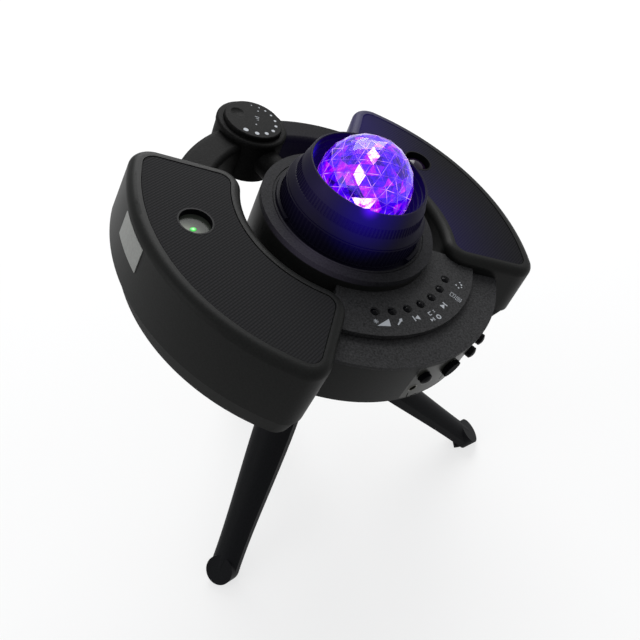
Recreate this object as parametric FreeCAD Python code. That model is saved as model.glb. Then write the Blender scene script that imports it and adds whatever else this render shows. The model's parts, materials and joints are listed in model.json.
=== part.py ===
import FreeCAD, Part
import math
import os
from FreeCAD import Rotation, Vector

# A planetarium projector on a folding desk tripod.
# The case is drawn in its own frame: the drum's axis is Z, the front faces -Y,
# and height 0 is the top plate of the front console. Azimuths are in degrees
# from the front towards the right. The stand is drawn upright on its own axis.
# All lengths are in millimetres.

# Fits, gaps and how far a cutting shape reaches past a face
RUN = 0.05
SEAT = 0.1
GAP = 0.3
WALL = 2.4
REACH = 1.0

# Drum in the middle of the case
DRUM_R = 44.5
DRUM_TOP = 9.4
DRUM_DEPTH = 38.0
COLLAR_THICK = 3.0
COLLAR_R_IN = 37.6
COLLAR_GROOVE_R = 38.6
COLLAR_GROOVE = 0.5
BASE_THICK = 2.5

# Front console between the two wings
CONSOLE_R = 85.0
CONSOLE_DEPTH = 26.8
CONSOLE_HALF = 47.0
TOP_THICK = 2.0
TOP_OVERHANG = 0.3
PANEL_SETBACK = 15.0
PANEL_HEIGHT = 3.1
PANEL_SHADOW = 0.9
PANEL_FOOT_SET = 1.2
BOARD_SETBACK = 12.7
BOARD_IN_SET = 4.5
BOARD_HALF = 34.0
BOARD_THICK = 1.6
BOARD_DEPTH = 9.0
POST_R = 2.5
POST_HALF = 30.0

# Keys on the raised panel
KEY_NAMES = ["brightness", "torch", "previous", "play", "next", "colour", "stars"]
KEY_FROM_DRUM = 11.8
KEY_PITCH = 9.1
KEY_R = 1.75
KEY_DISH_R = 2.5
KEY_DISH = 0.3
KEY_PROUD = 0.5
KEY_DOME = 0.7
KEY_FLANGE = 0.8
KEY_FLANGE_T = 1.0
KEY_STEM_R = 1.4
KEY_STEM = 2.8
KEY_TRAVEL = 0.7
SWITCH_SIDE = 4.0

# Side strip with its keys, knob and sockets
STRIP_FROM = -15.6
STRIP_TO = 26.0
STRIP_THICK = 1.2
STRIP_MARGIN = 0.8
SIDE_Z = -9.8
SIDE_KEYS = {"left": -11.4, "middle": 12.0, "right": 20.0}
SIDE_KEY_R = 3.0
SIDE_KEY_PROUD = 3.4
SIDE_KEY_DOME = 1.0
SIDE_STEM = 2.6
SIDE_TRAVEL = 0.8
SIDE_SWITCH_WIDE = 6.2
KNOB_AZ = 0.0
KNOB_R = 4.8
KNOB_DEPTH = 2.3
KNOB_FLUTES = 20
KNOB_FLUTE = 0.4
KNOB_SHAFT_R = 2.0
KNOB_SHAFT_IN = 4.0
KNOB_BODY = 8.0
JACK_AZ = -12.5
JACK_Z = -18.7
JACK_R = 1.8
JACK_DEPTH = 14.0
SOCKET_BACK = 1.5

# Wings: the two curved speaker boxes. The mesh outline is the base shape.
MESH_R_IN = 58.5
MESH_R_OUT = 99.0
MESH_CORNER = 6.0
MESH_HALF = 42.3
WING_MID = 90.6
WING_TOP = 8.5
WING_SEAM = -23.0
WING_FLOOR = -37.4
BEZEL = 5.5
SEAM_FLARE = 3.5
END_DRAFT = 1.5
FLOOR_TUCK = 1.5
SEAM_STEP = 0.5
BEZEL_ROUND = 4.2
MESH_SINK = 1.4
MESH_THICK = 1.1
MESH_EDGE = 0.35
BAFFLE = 2.4
WING_BASE_T = 2.4

# Round windows and what stands below them
WINDOW_AZ = 105.6
RING_R = 8.2
RING_WALL = 0.8
RING_SINK = 0.2
RING_DEPTH = 22.0
LENS_TOP = {"left": 5.4, "right": 4.2}
LENS_THICK = 2.0
LENS_DOME = 2.8
STEP_WIDE = 0.9
MODULE_LONG = 12.0

# Speakers
SPEAKER_AZ = 78.0
SPEAKER_MARGIN = 2.25
SPEAKER_RIM = 1.8
SPEAKER_DEEP = 13.0
MAGNET_SET = 7.0
CONE_SET = 2.5

# Blank rating plate on the left wing
LABEL_FROM = 99.3
LABEL_TO = 112.0
LABEL_LOW = -9.0
LABEL_HIGH = 4.0
LABEL_THICK = 0.3

# Rear arms, turret and volume dial
ARM_MID_R = 76.0
ARM_WIDE = 17.0
ARM_TOP = 0.5
ARM_DEPTH = 20.5
ARM_START = 120.0
ARM_ROUND_SHARE = 0.18
TURRET_Y = 78.0
TURRET_R = 18.8
TURRET_DEPTH = 24.2
TURRET_RIM_PROUD = 0.4
TURRET_RIM_T = 2.8
TURRET_TOP = 3.9
TURRET_ROUND = 1.6
DIAL_R = 15.6
DIAL_TOP = 6.3
DIAL_SINK = 1.0
DIAL_EDGE = 0.5
DIMPLE_R = 3.6
DIMPLE_DEEP = 0.9
DIMPLE_OUT = 9.2
DIMPLE_AZ = -143.0
DIAL_SHAFT_R = 2.5
DIAL_SHAFT = 9.0
ENCODER_R = 11.0
ENCODER_H = 11.0
NECK_R = 7.5
NECK_Z = -8.0

# Lens barrel
FLOOR_THICK = 2.0
LEDGE_R = 37.3
LEDGE_WIDE = 1.5
LEDGE_HIGH = 1.4
LEDGE_FROM = 9.0
LEDGE_TO = 259.0
BEARING_R = 30.4
BEARING_WALL = 2.4
FOCUS_R = 35.4
FOCUS_TOP = 19.6
FOCUS_FLUTES = 90
FLUTE_DEEP = 0.7
BAND_FOOT_R = 34.8
BAND_HIGH = 3.9
RIBS_FOOT_R = 32.4
RIBS_HIGH = 5.2
CONE_FOOT_R = 30.9
CONE_HIGH = 6.4
RIM_R = 28.9
RIM_WALL = 1.0
CUP_STEPS = 4
CUP_STEP_IN = 0.55
CUP_STEP_DOWN = 3.4

# Flutes, as shares of one flute's pitch
FLUTE_EDGE = 0.5
FLUTE_FLOOR_FROM = 0.65
FLUTE_FLOOR_TO = 0.85

# Dome, its carrier and its drive
DOME_R = 23.0
DOME_Z = 28.0
DOME_WALL = 2.0
CARRIER_R = 21.0
CARRIER_WALL = 2.0
CARRIER_FLANGE_R = 25.0
CARRIER_FLANGE_IN = 10.0
CARRIER_FLANGE_T = 2.0
GEAR_TEETH = 60
PINION_TEETH = 12
MODULE = 0.8
TOOTH_FOOT = 1.15
TOOTH_HEAD = 0.9
TOOTH_ROOT_HALF = 0.85
TOOTH_TIP_HALF = 0.41
GEAR_T = 3.0
GEAR_GAP = 7.4
BACKLASH = 0.12
MOTOR_R = 7.5
MOTOR_H = 18.0
MOTOR_AZ = 180.0
MOTOR_SHAFT_R = 1.0
MOTOR_SHAFT_IN = 6.0
LAMP_R = 13.0
LAMP_CORE_R = 6.5
LAMP_FINS = 6
FIN_T = 1.6
LAMP_DISC_R = 15.0
LAMP_DISC_T = 1.6
LAMP_TOP = 1.0
LED_R = 3.0
LED_RISE = 1.0
LED_DOME = 2.0

# Screws of the bottoms
SCREW_R = 1.4
SCREW_HEAD_R = 2.7
SCREW_HEAD_T = 1.7
SCREW_LONG = 13.0
COLUMN_R = 3.6
WING_SCREW_SET_IN = 5.0
WING_SCREW_SET_OUT = 3.0
WING_SCREW_TURN_IN = 34.0
WING_SCREW_TURN_OUT = 36.0
BASE_SCREW_R = 39.2
BASE_SCREWS = 3
BASE_SCREW_AZ = 0.0
BASE_COLUMN = 14.0

# Ball head
BALL_R = 7.5
NECK_BALL_R = 3.0
PLATFORM_DROP = 11.0
PLATFORM_R = 13.0
PLATFORM_T = 2.4
PLATFORM_FLUTES = 40
PLATFORM_FLUTE = 0.4
STUD_R = 3.175
STUD_LONG = 6.0
SOCKET_R = 11.5
SOCKET_RIM_R = 9.0
SOCKET_RIM = 3.0
SOCKET_SHOULDER = 0.5
CLAMP_R = 7.0
CLAMP_LONG = 9.0
CLAMP_STEM_R = 2.5
CLAMP_FLUTES = 10
CLAMP_FLUTE = 0.8
SPINDLE_R = 4.0
SPINDLE_H = 5.0

# Tripod
TILT = 20.2
LEAN_AZ = 41.5
LEG_LENGTH = 143.0
SPLAY = 42.5
HINGE_R = 12.8
HINGE_DROP = 37.0
LEG_AZ = {"right": 52.0, "rear": 171.0, "left": 289.5}
PIN_R = 2.0
KNUCKLE_R = 6.0
TONGUE = 8.0
EAR_T = 4.0
EAR_PLAY = 0.2
EAR_LIFT = 8.0
HUB_PLATE_T = 4.0
LEG_STATIONS = [(0.064, 21.0, 12.0), (0.319, 22.8, 11.8), (0.674, 18.2, 10.4), (0.936, 16.8, 9.6)]
CHANNEL_WALL = 2.2
CHANNEL_FLOOR = 4.0
FOOT_R = 8.5
FOOT_T = 9.4
PAD_INSET = 1.6
PAD_DEEP = 3.0

BALL_Z = LEG_LENGTH * math.cos(math.radians(SPLAY)) + HINGE_DROP
HINGE_Z = BALL_Z - HINGE_DROP
BALL_DROP = DRUM_DEPTH + PLATFORM_DROP
CONSOLE_WALL_R = CONSOLE_R - TOP_OVERHANG
FLOOR_Z = DRUM_TOP - COLLAR_THICK
PANEL_R = CONSOLE_R - PANEL_SETBACK
KEY_RING_R = DRUM_R + KEY_FROM_DRUM
BOARD_R_OUT = CONSOLE_WALL_R - BOARD_SETBACK
BOARD_R_IN = DRUM_R + BOARD_IN_SET
MESH_MID_R = (MESH_R_IN + MESH_R_OUT) / 2
SPEAKER_R = (MESH_R_OUT - MESH_R_IN) / 2 - SPEAKER_MARGIN
CONE_R = SPEAKER_R - CONE_SET
MAGNET_R = SPEAKER_R - MAGNET_SET
ARM_R_IN = ARM_MID_R - ARM_WIDE / 2
ARM_R_OUT = ARM_MID_R + ARM_WIDE / 2
ARM_ROUND = ARM_ROUND_SHARE * ARM_WIDE
ARM_LOW = ARM_TOP - ARM_DEPTH
UP = Vector(0, 0, 1)


# Shared shapes

def polar(radius, azimuth, height=0.0):
    angle = math.radians(azimuth)
    return Vector(radius * math.sin(angle), -radius * math.cos(angle), height)


def disc(radius, low, high, centre=Vector(0, 0, 0)):
    return Part.makeCylinder(radius, high - low, Vector(centre.x, centre.y, low))


def tube(r_out, r_in, low, high, centre=Vector(0, 0, 0)):
    return disc(r_out, low, high, centre).cut(disc(r_in, low, high, centre))


def turned(points):
    corners = [Vector(radius, 0, height) for radius, height in points]
    face = Part.Face(Part.makePolygon(corners + corners[:1]))
    return face.revolve(Vector(0, 0, 0), UP, 360)


def sector_face(r_in, r_out, start, end, height):
    middle = (start + end) / 2
    far = [polar(r_out, azimuth, height) for azimuth in (start, middle, end)]
    near = [polar(r_in, azimuth, height) for azimuth in (end, middle, start)]
    sides = [Part.makeLine(far[2], near[0]), Part.makeLine(near[2], far[0])]
    return Part.Face(Part.Wire([Part.Arc(*far).toShape(), sides[0], Part.Arc(*near).toShape(), sides[1]]))


def sector(r_in, r_out, start, end, low, high):
    return sector_face(r_in, r_out, start, end, low).extrude(Vector(0, 0, high - low))


def block(x_size, y_size, low, high):
    return Part.makeBox(x_size, y_size, high - low, Vector(-x_size / 2, -y_size / 2, low))


def toothed(points, low, high):
    corners = [polar(radius, azimuth, low) for radius, azimuth in points]
    return Part.Face(Part.makePolygon(corners + corners[:1])).extrude(Vector(0, 0, high - low))


def fluted(radius, flutes, depth, low, high):
    step = 360.0 / flutes
    floor_r = radius - depth
    shares = [(radius, 0.0), (radius, FLUTE_EDGE), (floor_r, FLUTE_FLOOR_FROM), (floor_r, FLUTE_FLOOR_TO)]
    points = [(r, (tooth + share) * step) for tooth in range(flutes) for r, share in shares]
    return toothed(points, low, high)


def wheel(teeth, turn, low, high):
    # Straight-sided teeth, thinned by the backlash so that they mesh freely.
    pitch_r = MODULE * teeth / 2
    root_r = pitch_r - TOOTH_FOOT * MODULE
    tip_r = pitch_r + TOOTH_HEAD * MODULE
    pitch = 360.0 / teeth
    half_root = math.degrees((TOOTH_ROOT_HALF * MODULE - BACKLASH) / root_r)
    half_tip = math.degrees((TOOTH_TIP_HALF * MODULE - BACKLASH / 2) / tip_r)
    points = []
    for tooth in range(teeth):
        middle = tooth * pitch + turn
        points.append((root_r, middle - half_root))
        points.append((tip_r, middle - half_tip))
        points.append((tip_r, middle + half_tip))
        points.append((root_r, middle + half_root))
    return toothed(points, low, high)


def domed_pin(radius, low, shoulder, dome):
    sphere_r = (radius ** 2 + dome ** 2) / (2 * dome)
    cap = Part.makeSphere(sphere_r, Vector(0, 0, shoulder + dome - sphere_r))
    return disc(radius, low, shoulder + dome).common(cap.fuse(disc(radius + REACH, low, shoulder)))


def edges_above(shape, height):
    return [edge for edge in shape.Edges if min(corner.Z for corner in edge.Vertexes) > height]


def place(shape, where):
    moved = shape.copy()
    moved.translate(where)
    return moved


def outward(shape, azimuth, height):
    # A shape drawn along +Z is laid along a radius, with its +Y upwards.
    turn = Rotation(UP, azimuth).multiply(Rotation(Vector(1, 0, 0), 90))
    moved = shape.copy()
    moved.Placement = FreeCAD.Placement(Vector(0, 0, height), turn)
    return moved


def mirrored(shape):
    return shape.mirror(Vector(0, 0, 0), Vector(1, 0, 0))


def joined(shapes):
    return shapes[0].multiFuse(shapes[1:]).removeSplitter()


# Wings

def wing_outline(grow, height, flare=0.0):
    # Flare moves the outer side alone, and grow moves all four.
    half = MESH_HALF - math.degrees(MESH_CORNER / MESH_MID_R)
    start = WING_MID - half
    outer = MESH_R_OUT - MESH_CORNER + flare
    core = sector_face(MESH_R_IN + MESH_CORNER, outer, start, WING_MID + half, height)
    return core.makeOffset2D(MESH_CORNER + grow)


def upper_wing(extra, low, high):
    # The ends and the inner side draw in towards the seam, and the outer side flares.
    share = (WING_TOP - low) / (WING_TOP - WING_SEAM)
    seam_grow = BEZEL - END_DRAFT * share + extra
    seam = wing_outline(seam_grow, low, (SEAM_FLARE + END_DRAFT) * share)
    return Part.makeLoft([seam.OuterWire, wing_outline(BEZEL + extra, high).OuterWire], True, True)


def lower_wing(extra, low, high):
    floor = wing_outline(BEZEL - END_DRAFT - FLOOR_TUCK + extra, low, END_DRAFT)
    seam = wing_outline(BEZEL - END_DRAFT + extra, high, SEAM_FLARE + END_DRAFT)
    return Part.makeLoft([floor.OuterWire, seam.OuterWire], True, True)


def wing_prism(grow, low, high):
    return wing_outline(grow, low).extrude(Vector(0, 0, high - low))


def wing_envelope(extra):
    upper = upper_wing(extra, WING_SEAM, WING_TOP + extra)
    return upper.fuse(lower_wing(extra, WING_FLOOR - extra, WING_SEAM))


def both_wings(extra):
    right = wing_envelope(extra)
    return right.fuse(mirrored(right))


def wing_screw_spots():
    near = [polar(MESH_R_IN + WING_SCREW_SET_IN, WING_MID + turn * WING_SCREW_TURN_IN) for turn in (-1, 1)]
    far = [polar(MESH_R_OUT - WING_SCREW_SET_OUT, WING_MID + turn * WING_SCREW_TURN_OUT) for turn in (-1, 1)]
    return near + far


def wing_shell():
    body = upper_wing(0, WING_SEAM, WING_TOP)
    body = body.makeFillet(BEZEL_ROUND, edges_above(body, WING_TOP - RUN))
    mesh_floor = WING_TOP - MESH_SINK
    ceiling = mesh_floor - BAFFLE
    body = body.cut(upper_wing(-WALL, WING_SEAM, ceiling))
    body = body.cut(wing_prism(0, mesh_floor, WING_TOP + GAP))
    columns = [disc(COLUMN_R, WING_FLOOR + WING_BASE_T, ceiling, spot) for spot in wing_screw_spots()]
    body = joined([body] + columns)
    for spot in wing_screw_spots():
        body = body.cut(disc(SCREW_R + RUN, WING_FLOOR, WING_FLOOR + SCREW_LONG + GAP, spot))
    body = body.cut(disc(CONE_R, ceiling, mesh_floor, polar(MESH_MID_R, SPEAKER_AZ)))
    return body.cut(disc(RING_R + SEAT, ceiling, mesh_floor, polar(MESH_MID_R, WINDOW_AZ)))


def wing_base():
    body = lower_wing(-SEAM_STEP, WING_FLOOR, WING_SEAM)
    body = body.cut(lower_wing(-SEAM_STEP - WALL, WING_FLOOR + WING_BASE_T, WING_SEAM))
    for spot in wing_screw_spots():
        body = body.cut(disc(SCREW_R + GAP, WING_FLOOR, WING_FLOOR + WING_BASE_T, spot))
        body = body.cut(disc(SCREW_HEAD_R + GAP, WING_FLOOR, WING_FLOOR + SCREW_HEAD_T, spot))
    return body


def grille():
    low = WING_TOP - MESH_SINK
    body = wing_prism(-MESH_EDGE, low, low + MESH_THICK)
    return body.cut(disc(RING_R + SEAT, low, low + MESH_THICK, polar(MESH_MID_R, WINDOW_AZ)))


def speaker():
    top = WING_TOP - MESH_SINK - BAFFLE
    rim = top - SPEAKER_RIM
    waist = top - SPEAKER_DEEP / 2
    profile = [(0, waist), (CONE_R - RUN, top), (SPEAKER_R, top), (SPEAKER_R, rim), (MAGNET_R, waist)]
    profile += [(MAGNET_R, top - SPEAKER_DEEP), (0, top - SPEAKER_DEEP)]
    return place(turned(profile), polar(MESH_MID_R, SPEAKER_AZ))


def window_ring(side):
    top = WING_TOP - RING_SINK
    step_z = LENS_TOP[side] - LENS_THICK
    inner = RING_R - RING_WALL
    low = top - RING_DEPTH
    profile = [(inner, top), (RING_R, top), (RING_R, low), (inner - STEP_WIDE, low)]
    profile += [(inner - STEP_WIDE, step_z), (inner, step_z)]
    return place(turned(profile), polar(MESH_MID_R, WINDOW_AZ))


def window_lens(side):
    radius = RING_R - RING_WALL - SEAT
    low = LENS_TOP[side] - LENS_THICK
    if side == "left":
        lens = disc(radius, low, LENS_TOP[side])
    else:
        lens = domed_pin(radius, low, LENS_TOP[side], LENS_DOME)
    return place(lens, polar(MESH_MID_R, WINDOW_AZ))


def laser_module():
    top = LENS_TOP["left"] - LENS_THICK - 2 * GAP
    radius = RING_R - RING_WALL - STEP_WIDE - SEAT
    return disc(radius, top - MODULE_LONG, top, polar(MESH_MID_R, WINDOW_AZ))


def rating_label():
    skin = wing_envelope(LABEL_THICK).cut(wing_envelope(0))
    reach = MESH_R_OUT + BEZEL + SEAM_FLARE
    return skin.common(sector(MESH_R_OUT, reach + WALL, LABEL_FROM, LABEL_TO, LABEL_LOW, LABEL_HIGH))


# Drum and base

def ring_spots(radius, count, first):
    return [polar(radius, first + 360.0 * k / count) for k in range(count)]


def drum_shell():
    body = tube(DRUM_R, DRUM_R - WALL, -DRUM_DEPTH, FLOOR_Z)
    low = BASE_THICK - DRUM_DEPTH
    for spot in ring_spots(BASE_SCREW_R, BASE_SCREWS, BASE_SCREW_AZ):
        column = disc(COLUMN_R, low, low + BASE_COLUMN, spot)
        column = column.common(disc(DRUM_R - SEAT, low, low + BASE_COLUMN))
        body = body.fuse(column).cut(disc(SCREW_R + RUN, low, low + BASE_COLUMN, spot))
    return body.removeSplitter()


def collar_ring():
    body = tube(DRUM_R, COLLAR_R_IN, FLOOR_Z, DRUM_TOP)
    groove_low = DRUM_TOP - COLLAR_GROOVE
    return body.cut(tube(COLLAR_GROOVE_R + COLLAR_GROOVE, COLLAR_GROOVE_R, groove_low, DRUM_TOP))


def base_plate():
    low = -DRUM_DEPTH
    top = low + BASE_THICK
    plate = disc(DRUM_R - WALL - SEAT, low, top)
    boss = disc(LAMP_R, top, low + STUD_LONG + BASE_THICK)
    pillar_top = pinion_low() - GAP - MOTOR_H
    pillar = disc(MOTOR_R, top, pillar_top, motor_spot())
    body = joined([plate, boss, pillar])
    body = body.cut(disc(STUD_R + RUN, low, low + STUD_LONG + GAP))
    for spot in ring_spots(BASE_SCREW_R, BASE_SCREWS, BASE_SCREW_AZ):
        body = body.cut(disc(SCREW_R + GAP, low, top, spot))
        body = body.cut(disc(SCREW_HEAD_R + GAP, low, low + SCREW_HEAD_T, spot))
    return body


def screw(low):
    head = disc(SCREW_HEAD_R, low, low + SCREW_HEAD_T)
    return head.fuse(disc(SCREW_R, low + SCREW_HEAD_T, low + SCREW_LONG)).removeSplitter()


def case_screws():
    spots = wing_screw_spots()
    spots += [Vector(-spot.x, spot.y, 0) for spot in spots]
    screws = [place(screw(WING_FLOOR), spot) for spot in spots]
    base_spots = ring_spots(BASE_SCREW_R, BASE_SCREWS, BASE_SCREW_AZ)
    screws += [place(screw(-DRUM_DEPTH), spot) for spot in base_spots]
    return Part.makeCompound(screws)


# Console

def console_slab(r_in, r_out, half, low, high):
    return sector(r_in, r_out, -half, half, low, high)


def key_azimuths():
    middle = (len(KEY_NAMES) - 1) / 2
    return [(number - middle) * KEY_PITCH for number in range(len(KEY_NAMES))]


def console_shell():
    inner_r = DRUM_R + SEAT
    body = console_slab(inner_r, CONSOLE_WALL_R, CONSOLE_HALF, -CONSOLE_DEPTH, -TOP_THICK)
    cavity_half = CONSOLE_HALF - math.degrees(WALL / inner_r)
    floor_z = WALL - CONSOLE_DEPTH
    cavity = console_slab(inner_r + WALL, CONSOLE_WALL_R - WALL, cavity_half, floor_z, -TOP_THICK)
    body = body.cut(both_wings(SEAT)).cut(cavity.cut(both_wings(SEAT + WALL)))
    board_low = -BOARD_DEPTH - BOARD_THICK
    for turn in (-POST_HALF, POST_HALF):
        for radius in (BOARD_R_IN + POST_R, BOARD_R_OUT - POST_R):
            body = body.fuse(disc(POST_R, floor_z, board_low, polar(radius, turn)))
    recess_low = STRIP_MARGIN - CONSOLE_DEPTH
    recess_top = -TOP_THICK - STRIP_MARGIN
    recess = sector(CONSOLE_WALL_R - STRIP_THICK, CONSOLE_R, STRIP_FROM, STRIP_TO, recess_low, recess_top)
    return cut_side_holes(body.cut(recess)).removeSplitter()


def cut_side_holes(body):
    hole_in = CONSOLE_WALL_R - WALL - GAP
    for azimuth in SIDE_KEYS.values():
        body = body.cut(outward(disc(SIDE_KEY_R + GAP, hole_in, CONSOLE_R), azimuth, SIDE_Z))
    body = body.cut(outward(disc(KNOB_SHAFT_R + GAP, hole_in, CONSOLE_R), KNOB_AZ, SIDE_Z))
    return body.cut(outward(disc(JACK_R, hole_in, CONSOLE_R), JACK_AZ, JACK_Z))


def side_strip():
    ends = math.degrees(SEAT / CONSOLE_R)
    strip_in = CONSOLE_WALL_R - STRIP_THICK
    low = STRIP_MARGIN + SEAT - CONSOLE_DEPTH
    high = -TOP_THICK - STRIP_MARGIN - SEAT
    return cut_side_holes(sector(strip_in, CONSOLE_WALL_R, STRIP_FROM + ends, STRIP_TO - ends, low, high))


def key_holes(radius, low, high):
    return [disc(radius, low, high, polar(KEY_RING_R, azimuth)) for azimuth in key_azimuths()]


def console_top():
    body = console_slab(DRUM_R + SEAT, CONSOLE_R, CONSOLE_HALF, -TOP_THICK, 0).cut(both_wings(SEAT))
    return body.cut(Part.makeCompound(key_holes(KEY_R + GAP, -TOP_THICK, 0)))


def control_panel():
    inner_r = DRUM_R + SEAT
    foot = console_slab(inner_r, PANEL_R - PANEL_FOOT_SET, CONSOLE_HALF, 0, PANEL_SHADOW)
    slab = console_slab(inner_r, PANEL_R, CONSOLE_HALF, PANEL_SHADOW, PANEL_HEIGHT)
    body = joined([foot, slab]).cut(both_wings(SEAT))
    body = body.cut(Part.makeCompound(key_holes(KEY_R + GAP, 0, PANEL_HEIGHT)))
    return body.cut(Part.makeCompound(key_holes(KEY_DISH_R, PANEL_HEIGHT - KEY_DISH, PANEL_HEIGHT)))


def panel_key(azimuth):
    # The flange catches under the top plate, and the stem stands over a switch.
    shoulder = PANEL_HEIGHT + KEY_PROUD - KEY_DOME
    flange_top = -TOP_THICK - GAP
    flange_low = flange_top - KEY_FLANGE_T
    parts = [domed_pin(KEY_R, flange_low, shoulder, KEY_DOME)]
    parts.append(disc(KEY_R + KEY_FLANGE, flange_low, flange_top))
    parts.append(disc(KEY_STEM_R, flange_low - KEY_STEM, flange_low))
    return place(joined(parts), polar(KEY_RING_R, azimuth))


def main_board():
    low = -BOARD_DEPTH - BOARD_THICK
    plate = console_slab(BOARD_R_IN, BOARD_R_OUT, BOARD_HALF, low, -BOARD_DEPTH)
    stem_low = -TOP_THICK - GAP - KEY_FLANGE_T - KEY_STEM
    switch_top = stem_low - KEY_TRAVEL - SEAT
    parts = [plate]
    switch = block(SWITCH_SIDE, SWITCH_SIDE, -BOARD_DEPTH, switch_top)
    parts += [place(switch, polar(KEY_RING_R, azimuth)) for azimuth in key_azimuths()]
    side_face = side_flange_out() - KEY_FLANGE_T - SIDE_STEM - SIDE_TRAVEL - SEAT
    side_switch = block(SIDE_SWITCH_WIDE, SWITCH_SIDE, BOARD_R_OUT - SWITCH_SIDE, side_face)
    for azimuth in SIDE_KEYS.values():
        parts.append(outward(side_switch, azimuth, SIDE_Z))
    knob_body = block(KNOB_BODY, KNOB_BODY, BOARD_R_OUT - KNOB_BODY, knob_body_face())
    parts.append(outward(knob_body, KNOB_AZ, SIDE_Z))
    hole = disc(KNOB_SHAFT_R + RUN, knob_body_face() - KNOB_SHAFT_IN - GAP, knob_body_face())
    return joined(parts).cut(outward(hole, KNOB_AZ, SIDE_Z))


def side_flange_out():
    return CONSOLE_WALL_R - WALL - 2 * GAP


def knob_body_face():
    return CONSOLE_WALL_R - WALL - 4 * GAP


def side_key(azimuth):
    flange_out = side_flange_out()
    flange_in = flange_out - KEY_FLANGE_T
    shoulder = CONSOLE_WALL_R + SIDE_KEY_PROUD - SIDE_KEY_DOME
    parts = [domed_pin(SIDE_KEY_R, flange_in, shoulder, SIDE_KEY_DOME)]
    parts.append(disc(SIDE_KEY_R + KEY_FLANGE, flange_in, flange_out))
    parts.append(disc(KEY_STEM_R, flange_in - SIDE_STEM, flange_in))
    return outward(joined(parts), azimuth, SIDE_Z)


def side_knob():
    low = CONSOLE_WALL_R + GAP
    grip = fluted(KNOB_R, KNOB_FLUTES, KNOB_FLUTE, low, low + KNOB_DEPTH)
    shaft = disc(KNOB_SHAFT_R, knob_body_face() - KNOB_SHAFT_IN, low)
    return outward(joined([grip, shaft]), KNOB_AZ, SIDE_Z)


def socket_block():
    face = CONSOLE_WALL_R - WALL - GAP
    back = face - JACK_DEPTH - SOCKET_BACK
    jack = outward(disc(JACK_R + SOCKET_BACK, back, face), JACK_AZ, JACK_Z)
    foot_y = WALL - CONSOLE_DEPTH - JACK_Z
    width = 2 * (JACK_R + SOCKET_BACK)
    carrier = Part.makeBox(width, -foot_y, JACK_DEPTH, Vector(-width / 2, foot_y, back))
    body = joined([jack, outward(carrier, JACK_AZ, JACK_Z)])
    return body.cut(outward(disc(JACK_R, face - JACK_DEPTH, face), JACK_AZ, JACK_Z))


# Rear arms, turret and dial

def turret_spot():
    return Vector(0, TURRET_Y, 0)


def rear_arm():
    body = sector(ARM_R_IN, ARM_R_OUT, ARM_START, 180, ARM_LOW, ARM_TOP)
    top_edges = edges_above(body, ARM_TOP - RUN)
    arcs = [edge for edge in top_edges if edge.Length > ARM_R_OUT - ARM_R_IN + REACH]
    body = body.makeFillet(ARM_ROUND, arcs)
    post = disc(TURRET_R + SEAT, ARM_LOW - GAP, TURRET_TOP, turret_spot())
    return body.cut(post).cut(wing_envelope(SEAT))


def turret_body():
    low = TURRET_TOP - TURRET_DEPTH
    rim = disc(TURRET_R + TURRET_RIM_PROUD, TURRET_TOP - TURRET_RIM_T, TURRET_TOP)
    rim = rim.makeFillet(TURRET_ROUND, edges_above(rim, TURRET_TOP - RUN))
    post = disc(TURRET_R, low, TURRET_TOP - TURRET_RIM_T)
    body = place(joined([post, rim]), turret_spot())
    neck_end = TURRET_Y - ENCODER_R - WALL
    neck = Part.makeCylinder(NECK_R, neck_end, Vector(0, 0, NECK_Z), Vector(0, 1, 0))
    body = joined([body, neck.cut(disc(DRUM_R + SEAT, low, TURRET_TOP))])
    floor_z = dial_floor()
    body = body.cut(disc(ENCODER_R + SEAT, floor_z - ENCODER_H, floor_z, turret_spot()))
    return body.cut(disc(DIAL_R + GAP, floor_z, TURRET_TOP, turret_spot()))


def dial_floor():
    return TURRET_TOP - DIAL_SINK


def dial_encoder():
    low = dial_floor() - ENCODER_H
    body = disc(ENCODER_R, low, dial_floor(), turret_spot())
    hole_low = dial_floor() - DIAL_SHAFT
    return body.cut(disc(DIAL_SHAFT_R + RUN, hole_low - GAP, dial_floor(), turret_spot()))


def volume_dial():
    low = dial_floor() + GAP
    plate = disc(DIAL_R, low, DIAL_TOP)
    plate = plate.makeChamfer(DIAL_EDGE, edges_above(plate, DIAL_TOP - RUN))
    bowl_r = (DIMPLE_R ** 2 + DIMPLE_DEEP ** 2) / (2 * DIMPLE_DEEP)
    dimple = Part.makeSphere(bowl_r, polar(DIMPLE_OUT, DIMPLE_AZ, DIAL_TOP + bowl_r - DIMPLE_DEEP))
    shaft = disc(DIAL_SHAFT_R, dial_floor() - DIAL_SHAFT, low)
    return place(joined([plate.cut(dimple), shaft]), turret_spot())


# Lens barrel

def floor_top():
    return FLOOR_Z + FLOOR_THICK


def barrel_base():
    body = tube(COLLAR_R_IN - SEAT, CARRIER_R + RUN, FLOOR_Z, floor_top())
    bearing = tube(BEARING_R, BEARING_R - BEARING_WALL, floor_top(), FOCUS_TOP)
    ledge = sector(LEDGE_R - LEDGE_WIDE, LEDGE_R, LEDGE_FROM, LEDGE_TO, floor_top(), DRUM_TOP + LEDGE_HIGH)
    return joined([body, bearing, ledge])


def focus_ring():
    low = floor_top() + GAP
    body = fluted(FOCUS_R, FOCUS_FLUTES, FLUTE_DEEP, low, FOCUS_TOP)
    return body.cut(disc(BEARING_R + RUN, low, FOCUS_TOP))


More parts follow.
